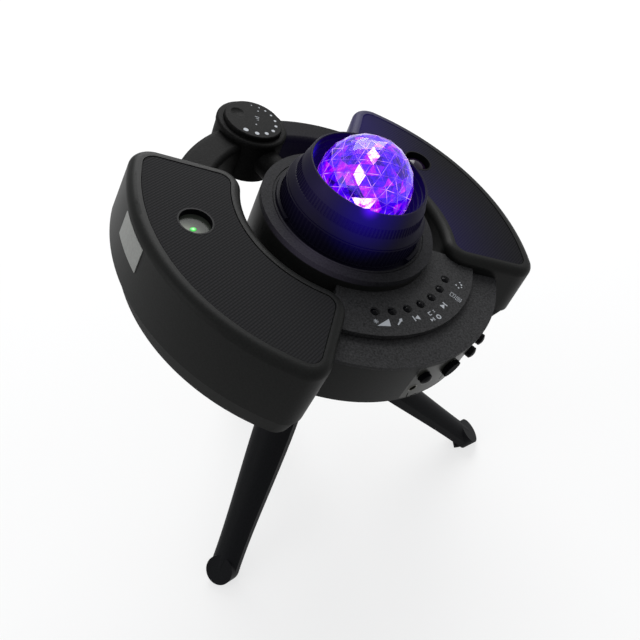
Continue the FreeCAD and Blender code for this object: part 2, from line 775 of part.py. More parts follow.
def hood():
    low = FOCUS_TOP + GAP
    band_top = low + BAND_HIGH
    ribs_top = band_top + RIBS_HIGH
    rim_z = ribs_top + CONE_HIGH
    inner_r = RIM_R - RIM_WALL
    spigot_r = BEARING_R - BEARING_WALL - SEAT
    points = [(spigot_r, floor_top()), (spigot_r, low), (BAND_FOOT_R, low), (RIBS_FOOT_R, band_top)]
    points += [(CONE_FOOT_R, ribs_top), (RIM_R, rim_z), (inner_r, rim_z)]
    for step in range(1, CUP_STEPS + 1):
        height = rim_z - step * CUP_STEP_DOWN
        points.append((inner_r - (step - 1) * CUP_STEP_IN, height))
        points.append((inner_r - step * CUP_STEP_IN, height))
    points.append((points[-1][0], floor_top()))
    return turned(points)


# Dome and drive

def carrier_top():
    return floor_top() + GAP + CARRIER_FLANGE_T


def crystal_dome():
    centre = Vector(0, 0, DOME_Z)
    ball = Part.makeSphere(DOME_R, centre).cut(Part.makeSphere(DOME_R - DOME_WALL, centre))
    return ball.common(disc(DOME_R + REACH, carrier_top(), DOME_Z + DOME_R + REACH))


def gear_low():
    return FLOOR_Z - GEAR_GAP


def dome_carrier():
    low = gear_low()
    flange_low = floor_top() + GAP
    body = turned([
        (CARRIER_R - CARRIER_WALL, low), (CARRIER_R, low), (CARRIER_R, flange_low),
        (CARRIER_FLANGE_R, flange_low), (CARRIER_FLANGE_R, carrier_top()),
        (CARRIER_FLANGE_IN, carrier_top()), (CARRIER_FLANGE_IN, flange_low),
        (CARRIER_R - CARRIER_WALL, flange_low)])
    gear = wheel(GEAR_TEETH, 0, low, low + GEAR_T).cut(disc(CARRIER_R, low, low + GEAR_T))
    return joined([body, gear])


def pinion_low():
    return gear_low() - GAP


def motor_spot():
    return polar(MODULE * (GEAR_TEETH + PINION_TEETH) / 2 + BACKLASH, MOTOR_AZ)


def motor_pinion():
    # A tooth of the wheel points along the line of centres, so the pinion shows it a gap.
    gear = wheel(PINION_TEETH, 180.0 / PINION_TEETH, pinion_low(), gear_low() + GEAR_T)
    shaft = disc(MOTOR_SHAFT_R, pinion_low() - GAP - MOTOR_SHAFT_IN, pinion_low())
    return place(joined([gear, shaft]), motor_spot())


def drive_motor():
    top = pinion_low() - GAP
    body = disc(MOTOR_R, top - MOTOR_H, top)
    body = body.cut(disc(MOTOR_SHAFT_R + RUN, top - MOTOR_SHAFT_IN - GAP, top))
    return place(body, motor_spot())


def lamp_post():
    low = STUD_LONG + BASE_THICK - DRUM_DEPTH
    high = LAMP_TOP - LAMP_DISC_T
    parts = [disc(LAMP_CORE_R, low, high)]
    for number in range(LAMP_FINS // 2):
        fin = block(2 * LAMP_R, FIN_T, low, high)
        fin.rotate(Vector(0, 0, 0), UP, 360.0 * number / LAMP_FINS)
        parts.append(fin)
    parts.append(disc(LAMP_DISC_R, high, LAMP_TOP))
    parts.append(domed_pin(LED_R, LAMP_TOP, LAMP_TOP + LED_RISE, LED_DOME))
    return joined(parts)


# Ball head, drawn at the case's frame or on the stand's axis

def ball_stud():
    ball = Part.makeSphere(BALL_R, Vector(0, 0, -BALL_DROP))
    neck = disc(NECK_BALL_R, -BALL_DROP, -DRUM_DEPTH - PLATFORM_T)
    screw_low = -DRUM_DEPTH - PLATFORM_T
    return joined([ball, neck, disc(STUD_R, screw_low, STUD_LONG - DRUM_DEPTH)])


def stud_platform():
    low = -DRUM_DEPTH - PLATFORM_T
    body = fluted(PLATFORM_R, PLATFORM_FLUTES, PLATFORM_FLUTE, low, -DRUM_DEPTH - SEAT)
    return body.cut(disc(STUD_R, low, -DRUM_DEPTH))


def lean_axis():
    toward = polar(1, LEAN_AZ)
    return Vector(-toward.y, toward.x, 0)


def clamp_line(shape):
    moved = shape.copy()
    moved.Placement = FreeCAD.Placement(Vector(0, 0, BALL_Z), Rotation(UP, lean_axis()))
    return moved


def ball_housing():
    low = hub_top() + EAR_PLAY
    profile = [(0, low), (SOCKET_R, low), (SOCKET_R, BALL_Z + SOCKET_SHOULDER)]
    profile += [(SOCKET_RIM_R, BALL_Z + SOCKET_RIM), (0, BALL_Z + SOCKET_RIM)]
    body = turned(profile).cut(Part.makeSphere(BALL_R + RUN, Vector(0, 0, BALL_Z)))
    body = body.cut(disc(SPINDLE_R + RUN, low, hub_top() + SPINDLE_H + GAP))
    return body.cut(clamp_line(disc(CLAMP_STEM_R + RUN, 0, SOCKET_R + REACH)))


def clamp_knob():
    head_low = SOCKET_R + 2 * GAP
    grip = fluted(CLAMP_R, CLAMP_FLUTES, CLAMP_FLUTE, head_low, head_low + CLAMP_LONG)
    stem = disc(CLAMP_STEM_R, BALL_R + GAP, head_low)
    return clamp_line(joined([grip, stem]))


# Tripod

def hub_top():
    return HINGE_Z + EAR_LIFT + HUB_PLATE_T


def at_leg(shape, side):
    # Shapes are drawn with the pin at the origin, along Y, and outwards as +X.
    moved = shape.copy()
    moved.translate(Vector(HINGE_R, 0, HINGE_Z))
    moved.rotate(Vector(0, 0, 0), UP, LEG_AZ[side] - 90)
    return moved


def across(radius, width, centre_y=0.0):
    return Part.makeCylinder(radius, width, Vector(0, centre_y - width / 2, 0), Vector(0, 1, 0))


def tripod_hub():
    ear_r = KNUCKLE_R + EAR_PLAY
    parts = [disc(HINGE_R + ear_r, HINGE_Z + EAR_LIFT, hub_top())]
    parts.append(disc(SPINDLE_R, hub_top(), hub_top() + SPINDLE_H))
    ear_y = TONGUE / 2 + EAR_PLAY + EAR_T / 2
    for side in LEG_AZ:
        for offset in (-ear_y, ear_y):
            web = Part.makeBox(2 * ear_r, EAR_T, EAR_LIFT, Vector(-ear_r, offset - EAR_T / 2, 0))
            ear = across(ear_r, EAR_T, offset).fuse(web).cut(across(PIN_R + RUN, EAR_T, offset))
            parts.append(at_leg(ear, side))
    return joined(parts)


def leg_pins():
    width = TONGUE + 2 * EAR_PLAY + 2 * EAR_T
    return Part.makeCompound([at_leg(across(PIN_R, width), side) for side in LEG_AZ])


def leg_section(distance, width, depth):
    half_w = width / 2
    half_d = depth / 2
    corners = [Vector(0, -half_w, -distance), Vector(-half_d, -half_w, -distance)]
    corners += [Vector(-half_d, half_w, -distance), Vector(0, half_w, -distance)]
    lines = [Part.makeLine(corners[n], corners[n + 1]) for n in range(3)]
    back = Part.Arc(corners[3], Vector(half_d, 0, -distance), corners[0]).toShape()
    return Part.Wire(lines + [back])


def channel_section(distance, width, depth):
    half_w = width / 2 - CHANNEL_WALL
    inner = -depth / 2
    floor_x = inner + CHANNEL_FLOOR
    corners = [Vector(inner - REACH, -half_w, -distance), Vector(inner - REACH, half_w, -distance)]
    corners += [Vector(floor_x, half_w, -distance), Vector(floor_x, -half_w, -distance)]
    return Part.makePolygon(corners + corners[:1])


def splayed(shape):
    moved = shape.copy()
    moved.rotate(Vector(0, 0, 0), Vector(0, 1, 0), -SPLAY)
    return moved


def below_desk():
    reach = 3 * LEG_LENGTH
    return Part.makeBox(reach, reach, reach, Vector(-reach / 2, -reach / 2, -HINGE_Z - reach))


def leg_end():
    return Vector(0, 0, FOOT_R - LEG_LENGTH)


def leg(side):
    stations = [(share * LEG_LENGTH, width, depth) for share, width, depth in LEG_STATIONS]
    body = Part.makeLoft([leg_section(*station) for station in stations], True, False)
    body = body.cut(Part.makeLoft([channel_section(*station) for station in stations[1:]], True, False))
    tip = Part.makeCylinder(FOOT_R, FOOT_T, leg_end() - Vector(FOOT_T / 2, 0, 0), Vector(1, 0, 0))
    tongue = across(KNUCKLE_R, TONGUE)
    shoulder = stations[0][0]
    web = block(2 * PIN_R + WALL, TONGUE, -shoulder - REACH, 0)
    body = joined([body, tip, tongue, web]).cut(across(PIN_R + RUN, TONGUE))
    body = splayed(body).cut(below_desk())
    return at_leg(body.cut(pad_shape(SEAT)), side)


def pad_shape(play):
    # The rubber sole fills a window in the foot and reaches the desk.
    radius = FOOT_R - PAD_INSET + play
    depth = PAD_DEEP + play
    inner = Part.makeCylinder(radius, depth, leg_end() - Vector(FOOT_T / 2, 0, 0), Vector(1, 0, 0))
    centre = splayed(Part.Vertex(leg_end())).Point
    sole_corner = Vector(centre.x - radius, -radius, -HINGE_Z)
    sole = Part.makeBox(2 * radius, 2 * radius, depth, sole_corner)
    return splayed(inner).fuse(sole.common(splayed(across_tip(radius))))


def across_tip(radius):
    return Part.makeCylinder(radius, 2 * FOOT_T, leg_end() - Vector(FOOT_T, 0, 0), Vector(1, 0, 0))


def foot(side):
    return at_leg(pad_shape(0).cut(below_desk()), side)


# Assembly

def case_parts():
    parts = {
        "drum_shell": drum_shell(), "collar_ring": collar_ring(), "base_plate": base_plate(),
        "console_shell": console_shell(), "console_top": console_top(), "control_panel": control_panel(),
        "side_strip": side_strip(), "main_board": main_board(), "socket_block": socket_block(),
        "side_knob": side_knob(), "case_screws": case_screws(),
        "rating_label": mirrored(rating_label()), "turret_body": turret_body(),
        "dial_encoder": dial_encoder(), "volume_dial": volume_dial(),
        "barrel_base": barrel_base(), "focus_ring": focus_ring(), "hood": hood(),
        "crystal_dome": crystal_dome(), "dome_carrier": dome_carrier(), "drive_motor": drive_motor(),
        "motor_pinion": motor_pinion(), "lamp_post": lamp_post(), "laser_module": mirrored(laser_module()),
        "ball_stud": ball_stud(), "stud_platform": stud_platform()}
    both_sides = {"wing_shell": wing_shell(), "wing_base": wing_base(), "grille": grille()}
    both_sides["speaker"] = speaker()
    both_sides["rear_arm"] = rear_arm()
    for name, shape in both_sides.items():
        parts[name + "_right"] = shape
        parts[name + "_left"] = mirrored(shape)
    parts["window_ring_right"] = window_ring("right")
    parts["window_ring_left"] = mirrored(window_ring("left"))
    parts["window_lens_right"] = window_lens("right")
    parts["window_lens_left"] = mirrored(window_lens("left"))
    for name, azimuth in zip(KEY_NAMES, key_azimuths()):
        parts["button_" + name] = panel_key(azimuth)
    for name, azimuth in SIDE_KEYS.items():
        parts["side_button_" + name] = side_key(azimuth)
    return parts


def stand_parts():
    parts = {"tripod_hub": tripod_hub(), "leg_pins": leg_pins(), "ball_housing": ball_housing()}
    parts["clamp_knob"] = clamp_knob()
    for side in LEG_AZ:
        parts["leg_" + side] = leg(side)
        parts["foot_" + side] = foot(side)
    return parts


def tilt_to_rest(shape):
    moved = shape.copy()
    moved.translate(Vector(0, 0, BALL_DROP))
    moved.rotate(Vector(0, 0, 0), lean_axis(), TILT)
    moved.translate(Vector(0, 0, BALL_Z))
    return moved


def footprint_centre(shapes):
    boxes = [shape.optimalBoundingBox(False) for shape in shapes]
    x_middle = (min(box.XMin for box in boxes) + max(box.XMax for box in boxes)) / 2
    y_middle = (min(box.YMin for box in boxes) + max(box.YMax for box in boxes)) / 2
    return Vector(x_middle, y_middle, 0)


def assembly():
    parts = {name: tilt_to_rest(shape) for name, shape in case_parts().items()}
    parts.update(stand_parts())
    home = footprint_centre(parts.values())
    for shape in parts.values():
        shape.translate(home * -1)
    return parts, home


PARTS, HOME = assembly()
os.makedirs("parts", exist_ok=True)
for node, shape in PARTS.items():
    shape.exportStep("parts/" + node + ".step")
print(len(PARTS), "pieces; the ball's centre is at", -HOME.x, -HOME.y, BALL_Z)
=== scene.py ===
# %% [markdown]
# # A desk planetarium projector
#
# The solids come from the CAD model and are loaded as a fixed frame. This lesson dresses them: it builds the
# lit crystal dome, the ribbed lens barrel and the printed marks, and gives every part the finish that the
# real one has.

# %% Load the frame
import json
import math
import random

import bmesh
import bpy
from mathutils import Matrix, Vector


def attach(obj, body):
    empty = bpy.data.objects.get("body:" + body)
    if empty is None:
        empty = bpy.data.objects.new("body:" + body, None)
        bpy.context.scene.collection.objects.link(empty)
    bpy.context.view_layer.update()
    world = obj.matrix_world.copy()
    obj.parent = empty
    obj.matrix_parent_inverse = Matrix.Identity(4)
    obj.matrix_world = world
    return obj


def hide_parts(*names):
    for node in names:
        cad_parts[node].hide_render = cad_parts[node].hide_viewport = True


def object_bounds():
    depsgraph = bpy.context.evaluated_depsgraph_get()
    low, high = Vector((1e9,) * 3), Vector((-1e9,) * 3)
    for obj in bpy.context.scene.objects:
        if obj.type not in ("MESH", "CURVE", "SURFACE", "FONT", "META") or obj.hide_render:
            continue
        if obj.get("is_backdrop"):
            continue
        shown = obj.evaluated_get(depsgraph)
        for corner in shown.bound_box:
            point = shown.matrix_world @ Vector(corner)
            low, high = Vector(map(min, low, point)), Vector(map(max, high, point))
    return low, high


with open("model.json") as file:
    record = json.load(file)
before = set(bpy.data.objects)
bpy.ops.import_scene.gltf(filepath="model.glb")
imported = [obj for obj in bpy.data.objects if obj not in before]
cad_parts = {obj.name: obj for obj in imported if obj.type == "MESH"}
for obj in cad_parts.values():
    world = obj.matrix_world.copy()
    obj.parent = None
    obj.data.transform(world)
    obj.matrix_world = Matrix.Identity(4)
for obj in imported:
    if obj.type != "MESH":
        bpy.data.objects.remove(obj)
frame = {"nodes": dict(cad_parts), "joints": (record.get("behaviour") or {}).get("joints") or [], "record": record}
cad_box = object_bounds()
joints = {joint["name"]: joint for joint in frame["joints"]}
MM = 0.001

# %% [markdown]
# ## The case's own frame
#
# The case leans on its ball head, so its top isn't level. Drawing on a leaning top is easiest in the case's
# own frame: Z along the drum, the console towards -Y, and height 0 on the console's top plate. The joints of
# the model already state where the drum's axis is and which way the side knob points, so the frame is built
# from them.

# %% The case's frame as a matrix
DOME_CENTRE = 28.0 * MM
drum_up = Vector(joints["dome_spin"]["axis"]).normalized()
console_way = Vector(joints["knob_turn"]["axis"]).normalized()
case_right = drum_up.cross(console_way)
case_origin = Vector(joints["dome_spin"]["pos_m"]) - DOME_CENTRE * drum_up
CASE = Matrix.Translation(case_origin) @ Matrix((case_right, -console_way, drum_up)).transposed().to_4x4()


def round_drum(radius, azimuth, height):
    """A point of the case's frame, in metres; the radius and the height are in millimetres.

    Azimuth 0 is the console's middle, and it grows to the right, in degrees.
    """
    angle = math.radians(azimuth)
    return Vector((radius * math.sin(angle), -radius * math.cos(angle), height)) * MM


print("case origin", [round(x, 4) for x in case_origin])

# %% [markdown]
# ## Camera
#
# The photograph looks down at the front left of the case at 45 degrees. The place and the turn of the camera
# were worked out from circles on the case, so they are written in the case's frame and carried over from it.

# %% Camera
EYE = Vector((-245.774, -146.952, 215.403)) * MM
LENS = 40.59
SENSOR = 36.0
view_way = Vector((0.630079, 0.341083, -0.697614))
view_right = Vector((0.712151, -0.611965, 0.344013))
view_up = view_right.cross(view_way)
view_turn = Matrix((view_right, view_up, -view_way)).transposed().to_4x4()
camera_data = bpy.data.cameras.new("camera")
camera_data.lens = LENS
camera_data.sensor_width = SENSOR
camera = bpy.data.objects.new("camera", camera_data)
camera.matrix_world = CASE @ Matrix.Translation(EYE) @ view_turn
bpy.context.scene.collection.objects.link(camera)
bpy.context.scene.camera = camera
bpy.context.scene.view_settings.view_transform = "Standard"
print("camera at", [round(x, 3) for x in camera.location])

# %% [markdown]
# ## Small helpers for shader nodes
#
# A shader is a graph. `feed` either links a socket or types a value into it, so the same line reads well in
# both cases. `chain` makes one Math node.

# %% Node helpers


def feed(tree, value, socket):
    """Links value to the socket if it is a socket itself, and otherwise types it in."""
    if isinstance(value, bpy.types.NodeSocket):
        tree.links.new(value, socket)
    else:
        socket.default_value = value


def chain(tree, operation, first, second=0.0, clamp=False):
    """The result of one Math node."""
    step = tree.nodes.new("ShaderNodeMath")
    step.operation = operation
    step.use_clamp = clamp
    feed(tree, first, step.inputs[0])
    feed(tree, second, step.inputs[1])
    return step.outputs[0]


def scaled(tree, vector, factor):
    """A vector or colour times a number."""
    step = tree.nodes.new("ShaderNodeVectorMath")
    step.operation = "SCALE"
    feed(tree, vector, step.inputs[0])
    feed(tree, factor, step.inputs["Scale"])
    return step.outputs[0]


def blended(tree, factor, first, second):
    """A colour between first and second."""
    step = tree.nodes.new("ShaderNodeMix")
    step.data_type = "RGBA"
    feed(tree, factor, step.inputs[0])
    feed(tree, first, step.inputs[6])
    feed(tree, second, step.inputs[7])
    return step.outputs[2]


def new_group(name, inputs, outputs):
    """An empty shader group with named sockets, and its input and output nodes."""
    group = bpy.data.node_groups.new(name, "ShaderNodeTree")
    for label, kind, value in inputs:
        socket = group.interface.new_socket(name=label, in_out="INPUT", socket_type="NodeSocket" + kind)
        socket.default_value = value
    for label, kind in outputs:
        group.interface.new_socket(name=label, in_out="OUTPUT", socket_type="NodeSocket" + kind)
    return group, group.nodes.new("NodeGroupInput").outputs, group.nodes.new("NodeGroupOutput").inputs


def noise_at(tree, size, detail=2.0, roughness=0.5, vector=None):
    """Noise whose lumps are about size metres across, in the object's own space."""
    place = vector or tree.nodes.new("ShaderNodeTexCoord").outputs["Object"]
    texture = tree.nodes.new("ShaderNodeTexNoise")
    texture.inputs["Scale"].default_value = 1.0
    texture.inputs["Detail"].default_value = detail
    texture.inputs["Roughness"].default_value = roughness
    feed(tree, scaled(tree, place, chain(tree, "DIVIDE", 1.0, size)), texture.inputs["Vector"])
    return texture.outputs[0]


def bumped(tree, height, depth):
    """A normal bent by a height from 0 to 1 that is depth metres high."""
    bump = tree.nodes.new("ShaderNodeBump")
    bump.inputs["Strength"].default_value = 1.0
    feed(tree, height, bump.inputs["Height"])
    feed(tree, depth, bump.inputs["Distance"])
    return bump.outputs[0]


print("node helpers ready")

# %% [markdown]
# ## Moulded grain
#
# Most of this object is black plastic from a steel mould that was etched to a fine grain. Close up the grain
# is a field of tiny bumps; from further off it shows as flecks, and hands leave broad smoother patches. One
# group does all three, and each plastic places it with its own grain and depth. A picture of grain would be
# another way, but it would stretch on the curved walls, while noise in the object's space never does.

# %% Group: moulded grain
HANDLED_PATCH = 0.035
CONTRAST = 4.0
grain_group, given, result = new_group(
    "moulded_grain",
    [("Colour", "Color", (0.03, 0.03, 0.03, 1)), ("Fleck", "Float", 0.2), ("Grain size", "Float", 0.0004),
     ("Depth", "Float", 0.00002), ("Roughness", "Float", 0.5), ("Handling", "Float", 0.1)],
    [("Colour", "Color"), ("Roughness", "Float"), ("Normal", "Vector")])
fine = noise_at(grain_group, given["Grain size"], 3.0, 0.6)
broad = noise_at(grain_group, HANDLED_PATCH, 3.0, 0.55)
fleck = chain(grain_group, "MULTIPLY", chain(grain_group, "SUBTRACT", fine, 0.5), given["Fleck"])
patch = chain(grain_group, "MULTIPLY", chain(grain_group, "SUBTRACT", broad, 0.5), given["Handling"])
change = chain(grain_group, "MULTIPLY", chain(grain_group, "ADD", fleck, patch), CONTRAST)
bright = chain(grain_group, "ADD", 1.0, change)
feed(grain_group, scaled(grain_group, given["Colour"], bright), result["Colour"])
feed(grain_group, chain(grain_group, "ADD", given["Roughness"], patch, clamp=True), result["Roughness"])
feed(grain_group, bumped(grain_group, fine, given["Depth"]), result["Normal"])
print("group", grain_group.name)

# %% [markdown]
# ## The dome's light on its neighbours
#
# The lit dome throws a violet-blue light on the barrel, the collar and the near edge of the right wing. A
# lamp could do it, but the barrel's outside faces away from the dome and gets its light from the haze above
# the rim. A soft ball of light round a point, added as emission, gives that glow without noise.

# %% Group: dome light
glow_group, given, result = new_group(
    "dome_light",
    [("Place", "Vector", (0, 0, 0)), ("Reach", "Float", 0.03), ("Strength", "Float", 0.2),
     ("Tint", "Color", (0.12, 0.0, 1.0, 1))],
    [("Light", "Color")])
here = glow_group.nodes.new("ShaderNodeTexCoord").outputs["Object"]
distance = glow_group.nodes.new("ShaderNodeVectorMath")
distance.operation = "DISTANCE"
feed(glow_group, here, distance.inputs[0])
feed(glow_group, given["Place"], distance.inputs[1])
share = chain(glow_group, "DIVIDE", distance.outputs["Value"], given["Reach"])
left = chain(glow_group, "SUBTRACT", 1.0, share, clamp=True)
falloff = chain(glow_group, "MULTIPLY", left, left)
feed(glow_group, scaled(glow_group, given["Tint"], chain(glow_group, "MULTIPLY", falloff, given["Strength"])),
     result["Light"])
print("group", glow_group.name)

# %% [markdown]
# ## Woven speaker cloth
#
# The tops of the wings are covered by a fine synthetic weave: threads in two directions that pass over and
# under each other. The group asks on which square of the weave a point lies, which thread is on top there,
# and how round that thread is. Threads of one direction are a little lighter and stand a little higher,
# which gives the fine lines that lead the eye, and a slow noise keeps the cloth from looking ruled.

# %% Group: speaker weave
CROSSING_RISE = 0.4
LEADING_RISE = 0.6
UNEVEN_PATCH = 0.004
UNEVEN_SHARE = 1.2
GAP_ROUGHNESS = 0.95
THREAD_SHEEN = 0.25
weave_group, given, result = new_group(
    "speaker_weave",
    [("Vector", "Vector", (0, 0, 0)), ("Pitch", "Float", 0.0009), ("Warp", "Color", (0.05, 0.05, 0.05, 1)),
     ("Weft", "Color", (0.03, 0.03, 0.03, 1)), ("Gap", "Color", (0.004, 0.004, 0.004, 1)),
     ("Depth", "Float", 0.00012)],
    [("Colour", "Color"), ("Roughness", "Float"), ("Normal", "Vector")])
axes = weave_group.nodes.new("ShaderNodeSeparateXYZ")
feed(weave_group, given["Vector"], axes.inputs[0])
step = chain(weave_group, "DIVIDE", math.pi, given["Pitch"])
wave_x = chain(weave_group, "SINE", chain(weave_group, "MULTIPLY", axes.outputs[0], step))
wave_y = chain(weave_group, "SINE", chain(weave_group, "MULTIPLY", axes.outputs[1], step))
over = chain(weave_group, "GREATER_THAN", chain(weave_group, "MULTIPLY", wave_x, wave_y), 0.0)
under = chain(weave_group, "SUBTRACT", 1.0, over)
round_x = chain(weave_group, "MULTIPLY", chain(weave_group, "ABSOLUTE", wave_x), under)
round_y = chain(weave_group, "MULTIPLY", chain(weave_group, "ABSOLUTE", wave_y), over)
crossing = chain(weave_group, "MULTIPLY", chain(weave_group, "ADD", round_x, round_y), CROSSING_RISE)
leading = chain(weave_group, "MULTIPLY", chain(weave_group, "ABSOLUTE", wave_y), LEADING_RISE)
height = chain(weave_group, "ADD", crossing, leading)
uneven = chain(weave_group, "MULTIPLY", noise_at(weave_group, UNEVEN_PATCH, 2.0), UNEVEN_SHARE)
mixed = chain(weave_group, "MULTIPLY", over, uneven, clamp=True)
thread = blended(weave_group, mixed, given["Weft"], given["Warp"])
feed(weave_group, blended(weave_group, height, given["Gap"], thread), result["Colour"])
sheen = chain(weave_group, "MULTIPLY", height, -THREAD_SHEEN)
feed(weave_group, chain(weave_group, "ADD", GAP_ROUGHNESS, sheen), result["Roughness"])
feed(weave_group, bumped(weave_group, height, given["Depth"]), result["Normal"])
print("group", weave_group.name)

# %% [markdown]
# ## Brushed metal
#
# The ball, the screws and the pins are turned or rolled steel, with fine scratches in one direction and a
# few dull spots. Noise that is stretched along one axis draws such scratches.

# %% Group: brushed metal
SCRATCH_FINE = 0.0003
SCRATCH_DEEP = 0.000008
DULL_SPOT = 0.006
DULL_SHARE = 0.25
brushed_group, given, result = new_group(
    "brushed_metal",
    [("Colour", "Color", (0.5, 0.5, 0.5, 1)), ("Roughness", "Float", 0.3), ("Scratch", "Float", 0.15),
     ("Stretch", "Vector", (1, 1, 12))],
    [("Colour", "Color"), ("Roughness", "Float"), ("Normal", "Vector")])
place = brushed_group.nodes.new("ShaderNodeTexCoord").outputs["Object"]
stretch = brushed_group.nodes.new("ShaderNodeVectorMath")
stretch.operation = "DIVIDE"
feed(brushed_group, place, stretch.inputs[0])
feed(brushed_group, given["Stretch"], stretch.inputs[1])
scratch = noise_at(brushed_group, SCRATCH_FINE, 4.0, 0.7, stretch.outputs[0])
dull = noise_at(brushed_group, DULL_SPOT, 2.0)
marks = chain(brushed_group, "MULTIPLY", chain(brushed_group, "SUBTRACT", scratch, 0.5), given["Scratch"])
spots = chain(brushed_group, "MULTIPLY", chain(brushed_group, "SUBTRACT", dull, 0.5), DULL_SHARE)
shine = chain(brushed_group, "ADD", 1.0, chain(brushed_group, "ADD", marks, spots))
feed(brushed_group, scaled(brushed_group, given["Colour"], shine), result["Colour"])
rough = chain(brushed_group, "ADD", given["Roughness"], chain(brushed_group, "ADD", marks, spots), clamp=True)
feed(brushed_group, rough, result["Roughness"])
feed(brushed_group, bumped(brushed_group, scratch, SCRATCH_DEEP), result["Normal"])
print("group", brushed_group.name)

# %% [markdown]
# ## Finishes
#
# Each material is one Principled shader. Numbers that are the same all over, such as the metal, are typed
# straight into the shader; what changes over the surface comes out of a group.

# %% Material helpers


def finish_with(name, group, values, metal=0.0, specular=0.3):
    """A material whose colour, roughness and normal come from one group."""
    material = bpy.data.materials.new(name)
    material.use_nodes = True
    tree = material.node_tree
    shader = tree.nodes["Principled BSDF"]
    shader.inputs["Metallic"].default_value = metal
    shader.inputs["Specular IOR Level"].default_value = specular
    effect = tree.nodes.new("ShaderNodeGroup")
    effect.node_tree = group
    for label, value in values.items():
        effect.inputs[label].default_value = value
    tree.links.new(effect.outputs["Colour"], shader.inputs["Base Color"])
    tree.links.new(effect.outputs["Roughness"], shader.inputs["Roughness"])
    tree.links.new(effect.outputs["Normal"], shader.inputs["Normal"])
    return material


def grained(name, tone, roughness, grain, depth, fleck, handling=0.06, **shader_values):
    """A grained finish for plastic, rubber, paper, ink or smoked glass; tone is a linear red, green, blue."""
    values = {"Colour": (*tone, 1), "Roughness": roughness, "Grain size": grain, "Depth": depth,
              "Fleck": fleck, "Handling": handling}
    return finish_with(name, grain_group, values, **shader_values)


def add_dome_light(material, places):
    """Adds the dome's light to a material.

    places is a list of (point in the case's frame, reach in millimetres, strength, tint).
    """
    tree = material.node_tree
    shader = tree.nodes["Principled BSDF"]
    total = None
    for point, reach, strength, tint in places:
        light = tree.nodes.new("ShaderNodeGroup")
        light.node_tree = glow_group
        light.inputs["Place"].default_value = CASE @ point
        light.inputs["Reach"].default_value = reach * MM
        light.inputs["Strength"].default_value = strength
        light.inputs["Tint"].default_value = (*tint, 1)
        if total is None:
            total = light.outputs["Light"]
        else:
            both = tree.nodes.new("ShaderNodeVectorMath")
            tree.links.new(total, both.inputs[0])
            tree.links.new(light.outputs["Light"], both.inputs[1])
            total = both.outputs[0]
    tree.links.new(total, shader.inputs["Emission Color"])
    shader.inputs["Emission Strength"].default_value = 1.0


def lit_copy(material, name, places):
    """A copy of a material that also gets the dome's light."""
    lit = material.copy()
    lit.name = name
    add_dome_light(lit, places)
    return lit


print("material helpers ready")

# %% Plastics, rubber and paper
# Each slot's material name, tone, roughness, grain size, depth, fleck and specular level.
PLASTICS = {
    "top_plastic": ("etched_charcoal", (0.0225, 0.0225, 0.0235), 0.6, 0.0009, 0.0001, 0.85, 0.12),
    "wall_plastic": ("satin_wall", (0.0092, 0.0095, 0.0092), 0.44, 0.0008, 0.00003, 0.3, 0.09),
    "arm_plastic": ("etched_arm", (0.0048, 0.0048, 0.0048), 0.58, 0.0009, 0.0001, 0.9, 0.05),
    "barrel_plastic": ("satin_barrel", (0.0035, 0.0032, 0.006), 0.45, 0.0006, 0.00002, 0.2, 0.06),
    "case_plastic": ("plain_moulding", (0.012, 0.012, 0.0125), 0.55, 0.0007, 0.00004, 0.2, 0.2),
    "leg_plastic": ("satin_leg", (0.008, 0.0083, 0.0095), 0.5, 0.0008, 0.00004, 0.3, 0.05),
    "key_plastic": ("polished_key", (0.0015, 0.0015, 0.0025), 0.25, 0.002, 0.000004, 0.05, 0.045),
    "ring_plastic": ("polished_ring", (0.004, 0.004, 0.005), 0.3, 0.002, 0.000004, 0.05, 0.05),
    "foot_rubber": ("soft_rubber", (0.011, 0.011, 0.0125), 0.85, 0.0009, 0.00008, 0.3, 0.05),
    "part_nylon": ("moulded_nylon", (0.02, 0.02, 0.02), 0.5, 0.0008, 0.00003, 0.2, 0.3),
    "gear_nylon": ("natural_nylon", (0.55, 0.54, 0.5), 0.45, 0.0009, 0.00002, 0.05, 0.3),
    "label_foil": ("blank_label", (0.3, 0.305, 0.29), 0.45, 0.0012, 0.000006, 0.12, 0.3),
    "speaker_driver": ("paper_cone", (0.02, 0.019, 0.018), 0.8, 0.0006, 0.00006, 0.3, 0.3),
}
finishes = {}
for slot, (name, tone, roughness, grain, depth, fleck, specular) in PLASTICS.items():
    finishes[slot] = grained(name, tone, roughness, grain, depth, fleck, specular=specular)
strip_plastic = grained("side_strip", (0.0125, 0.013, 0.0105), 0.4, 0.0008, 0.00003, 0.3, specular=0.24)
print(len(finishes), "plastics")

# %% Metals
finishes["steel"] = finish_with("zinc_steel", brushed_group, {"Colour": (0.52, 0.52, 0.53, 1)}, metal=1.0)
finishes["head_metal"] = finish_with(
    "black_anodised", brushed_group, {"Colour": (0.02, 0.02, 0.022, 1), "Roughness": 0.45}, metal=0.6,
    specular=0.2)
finishes["heat_sink"] = finish_with(
    "cast_aluminium", brushed_group, {"Colour": (0.45, 0.45, 0.47, 1), "Roughness": 0.5}, metal=1.0)
finishes["motor_can"] = finish_with(
    "rolled_can", brushed_group, {"Colour": (0.48, 0.48, 0.48, 1), "Roughness": 0.28}, metal=1.0)
print("metals done")

# %% [markdown]
# ## Circuit board
#
# Only a glimpse of the board can be had, but it should still be one: green solder mask over copper tracks
# that run along the board, and a speckle of small pads.

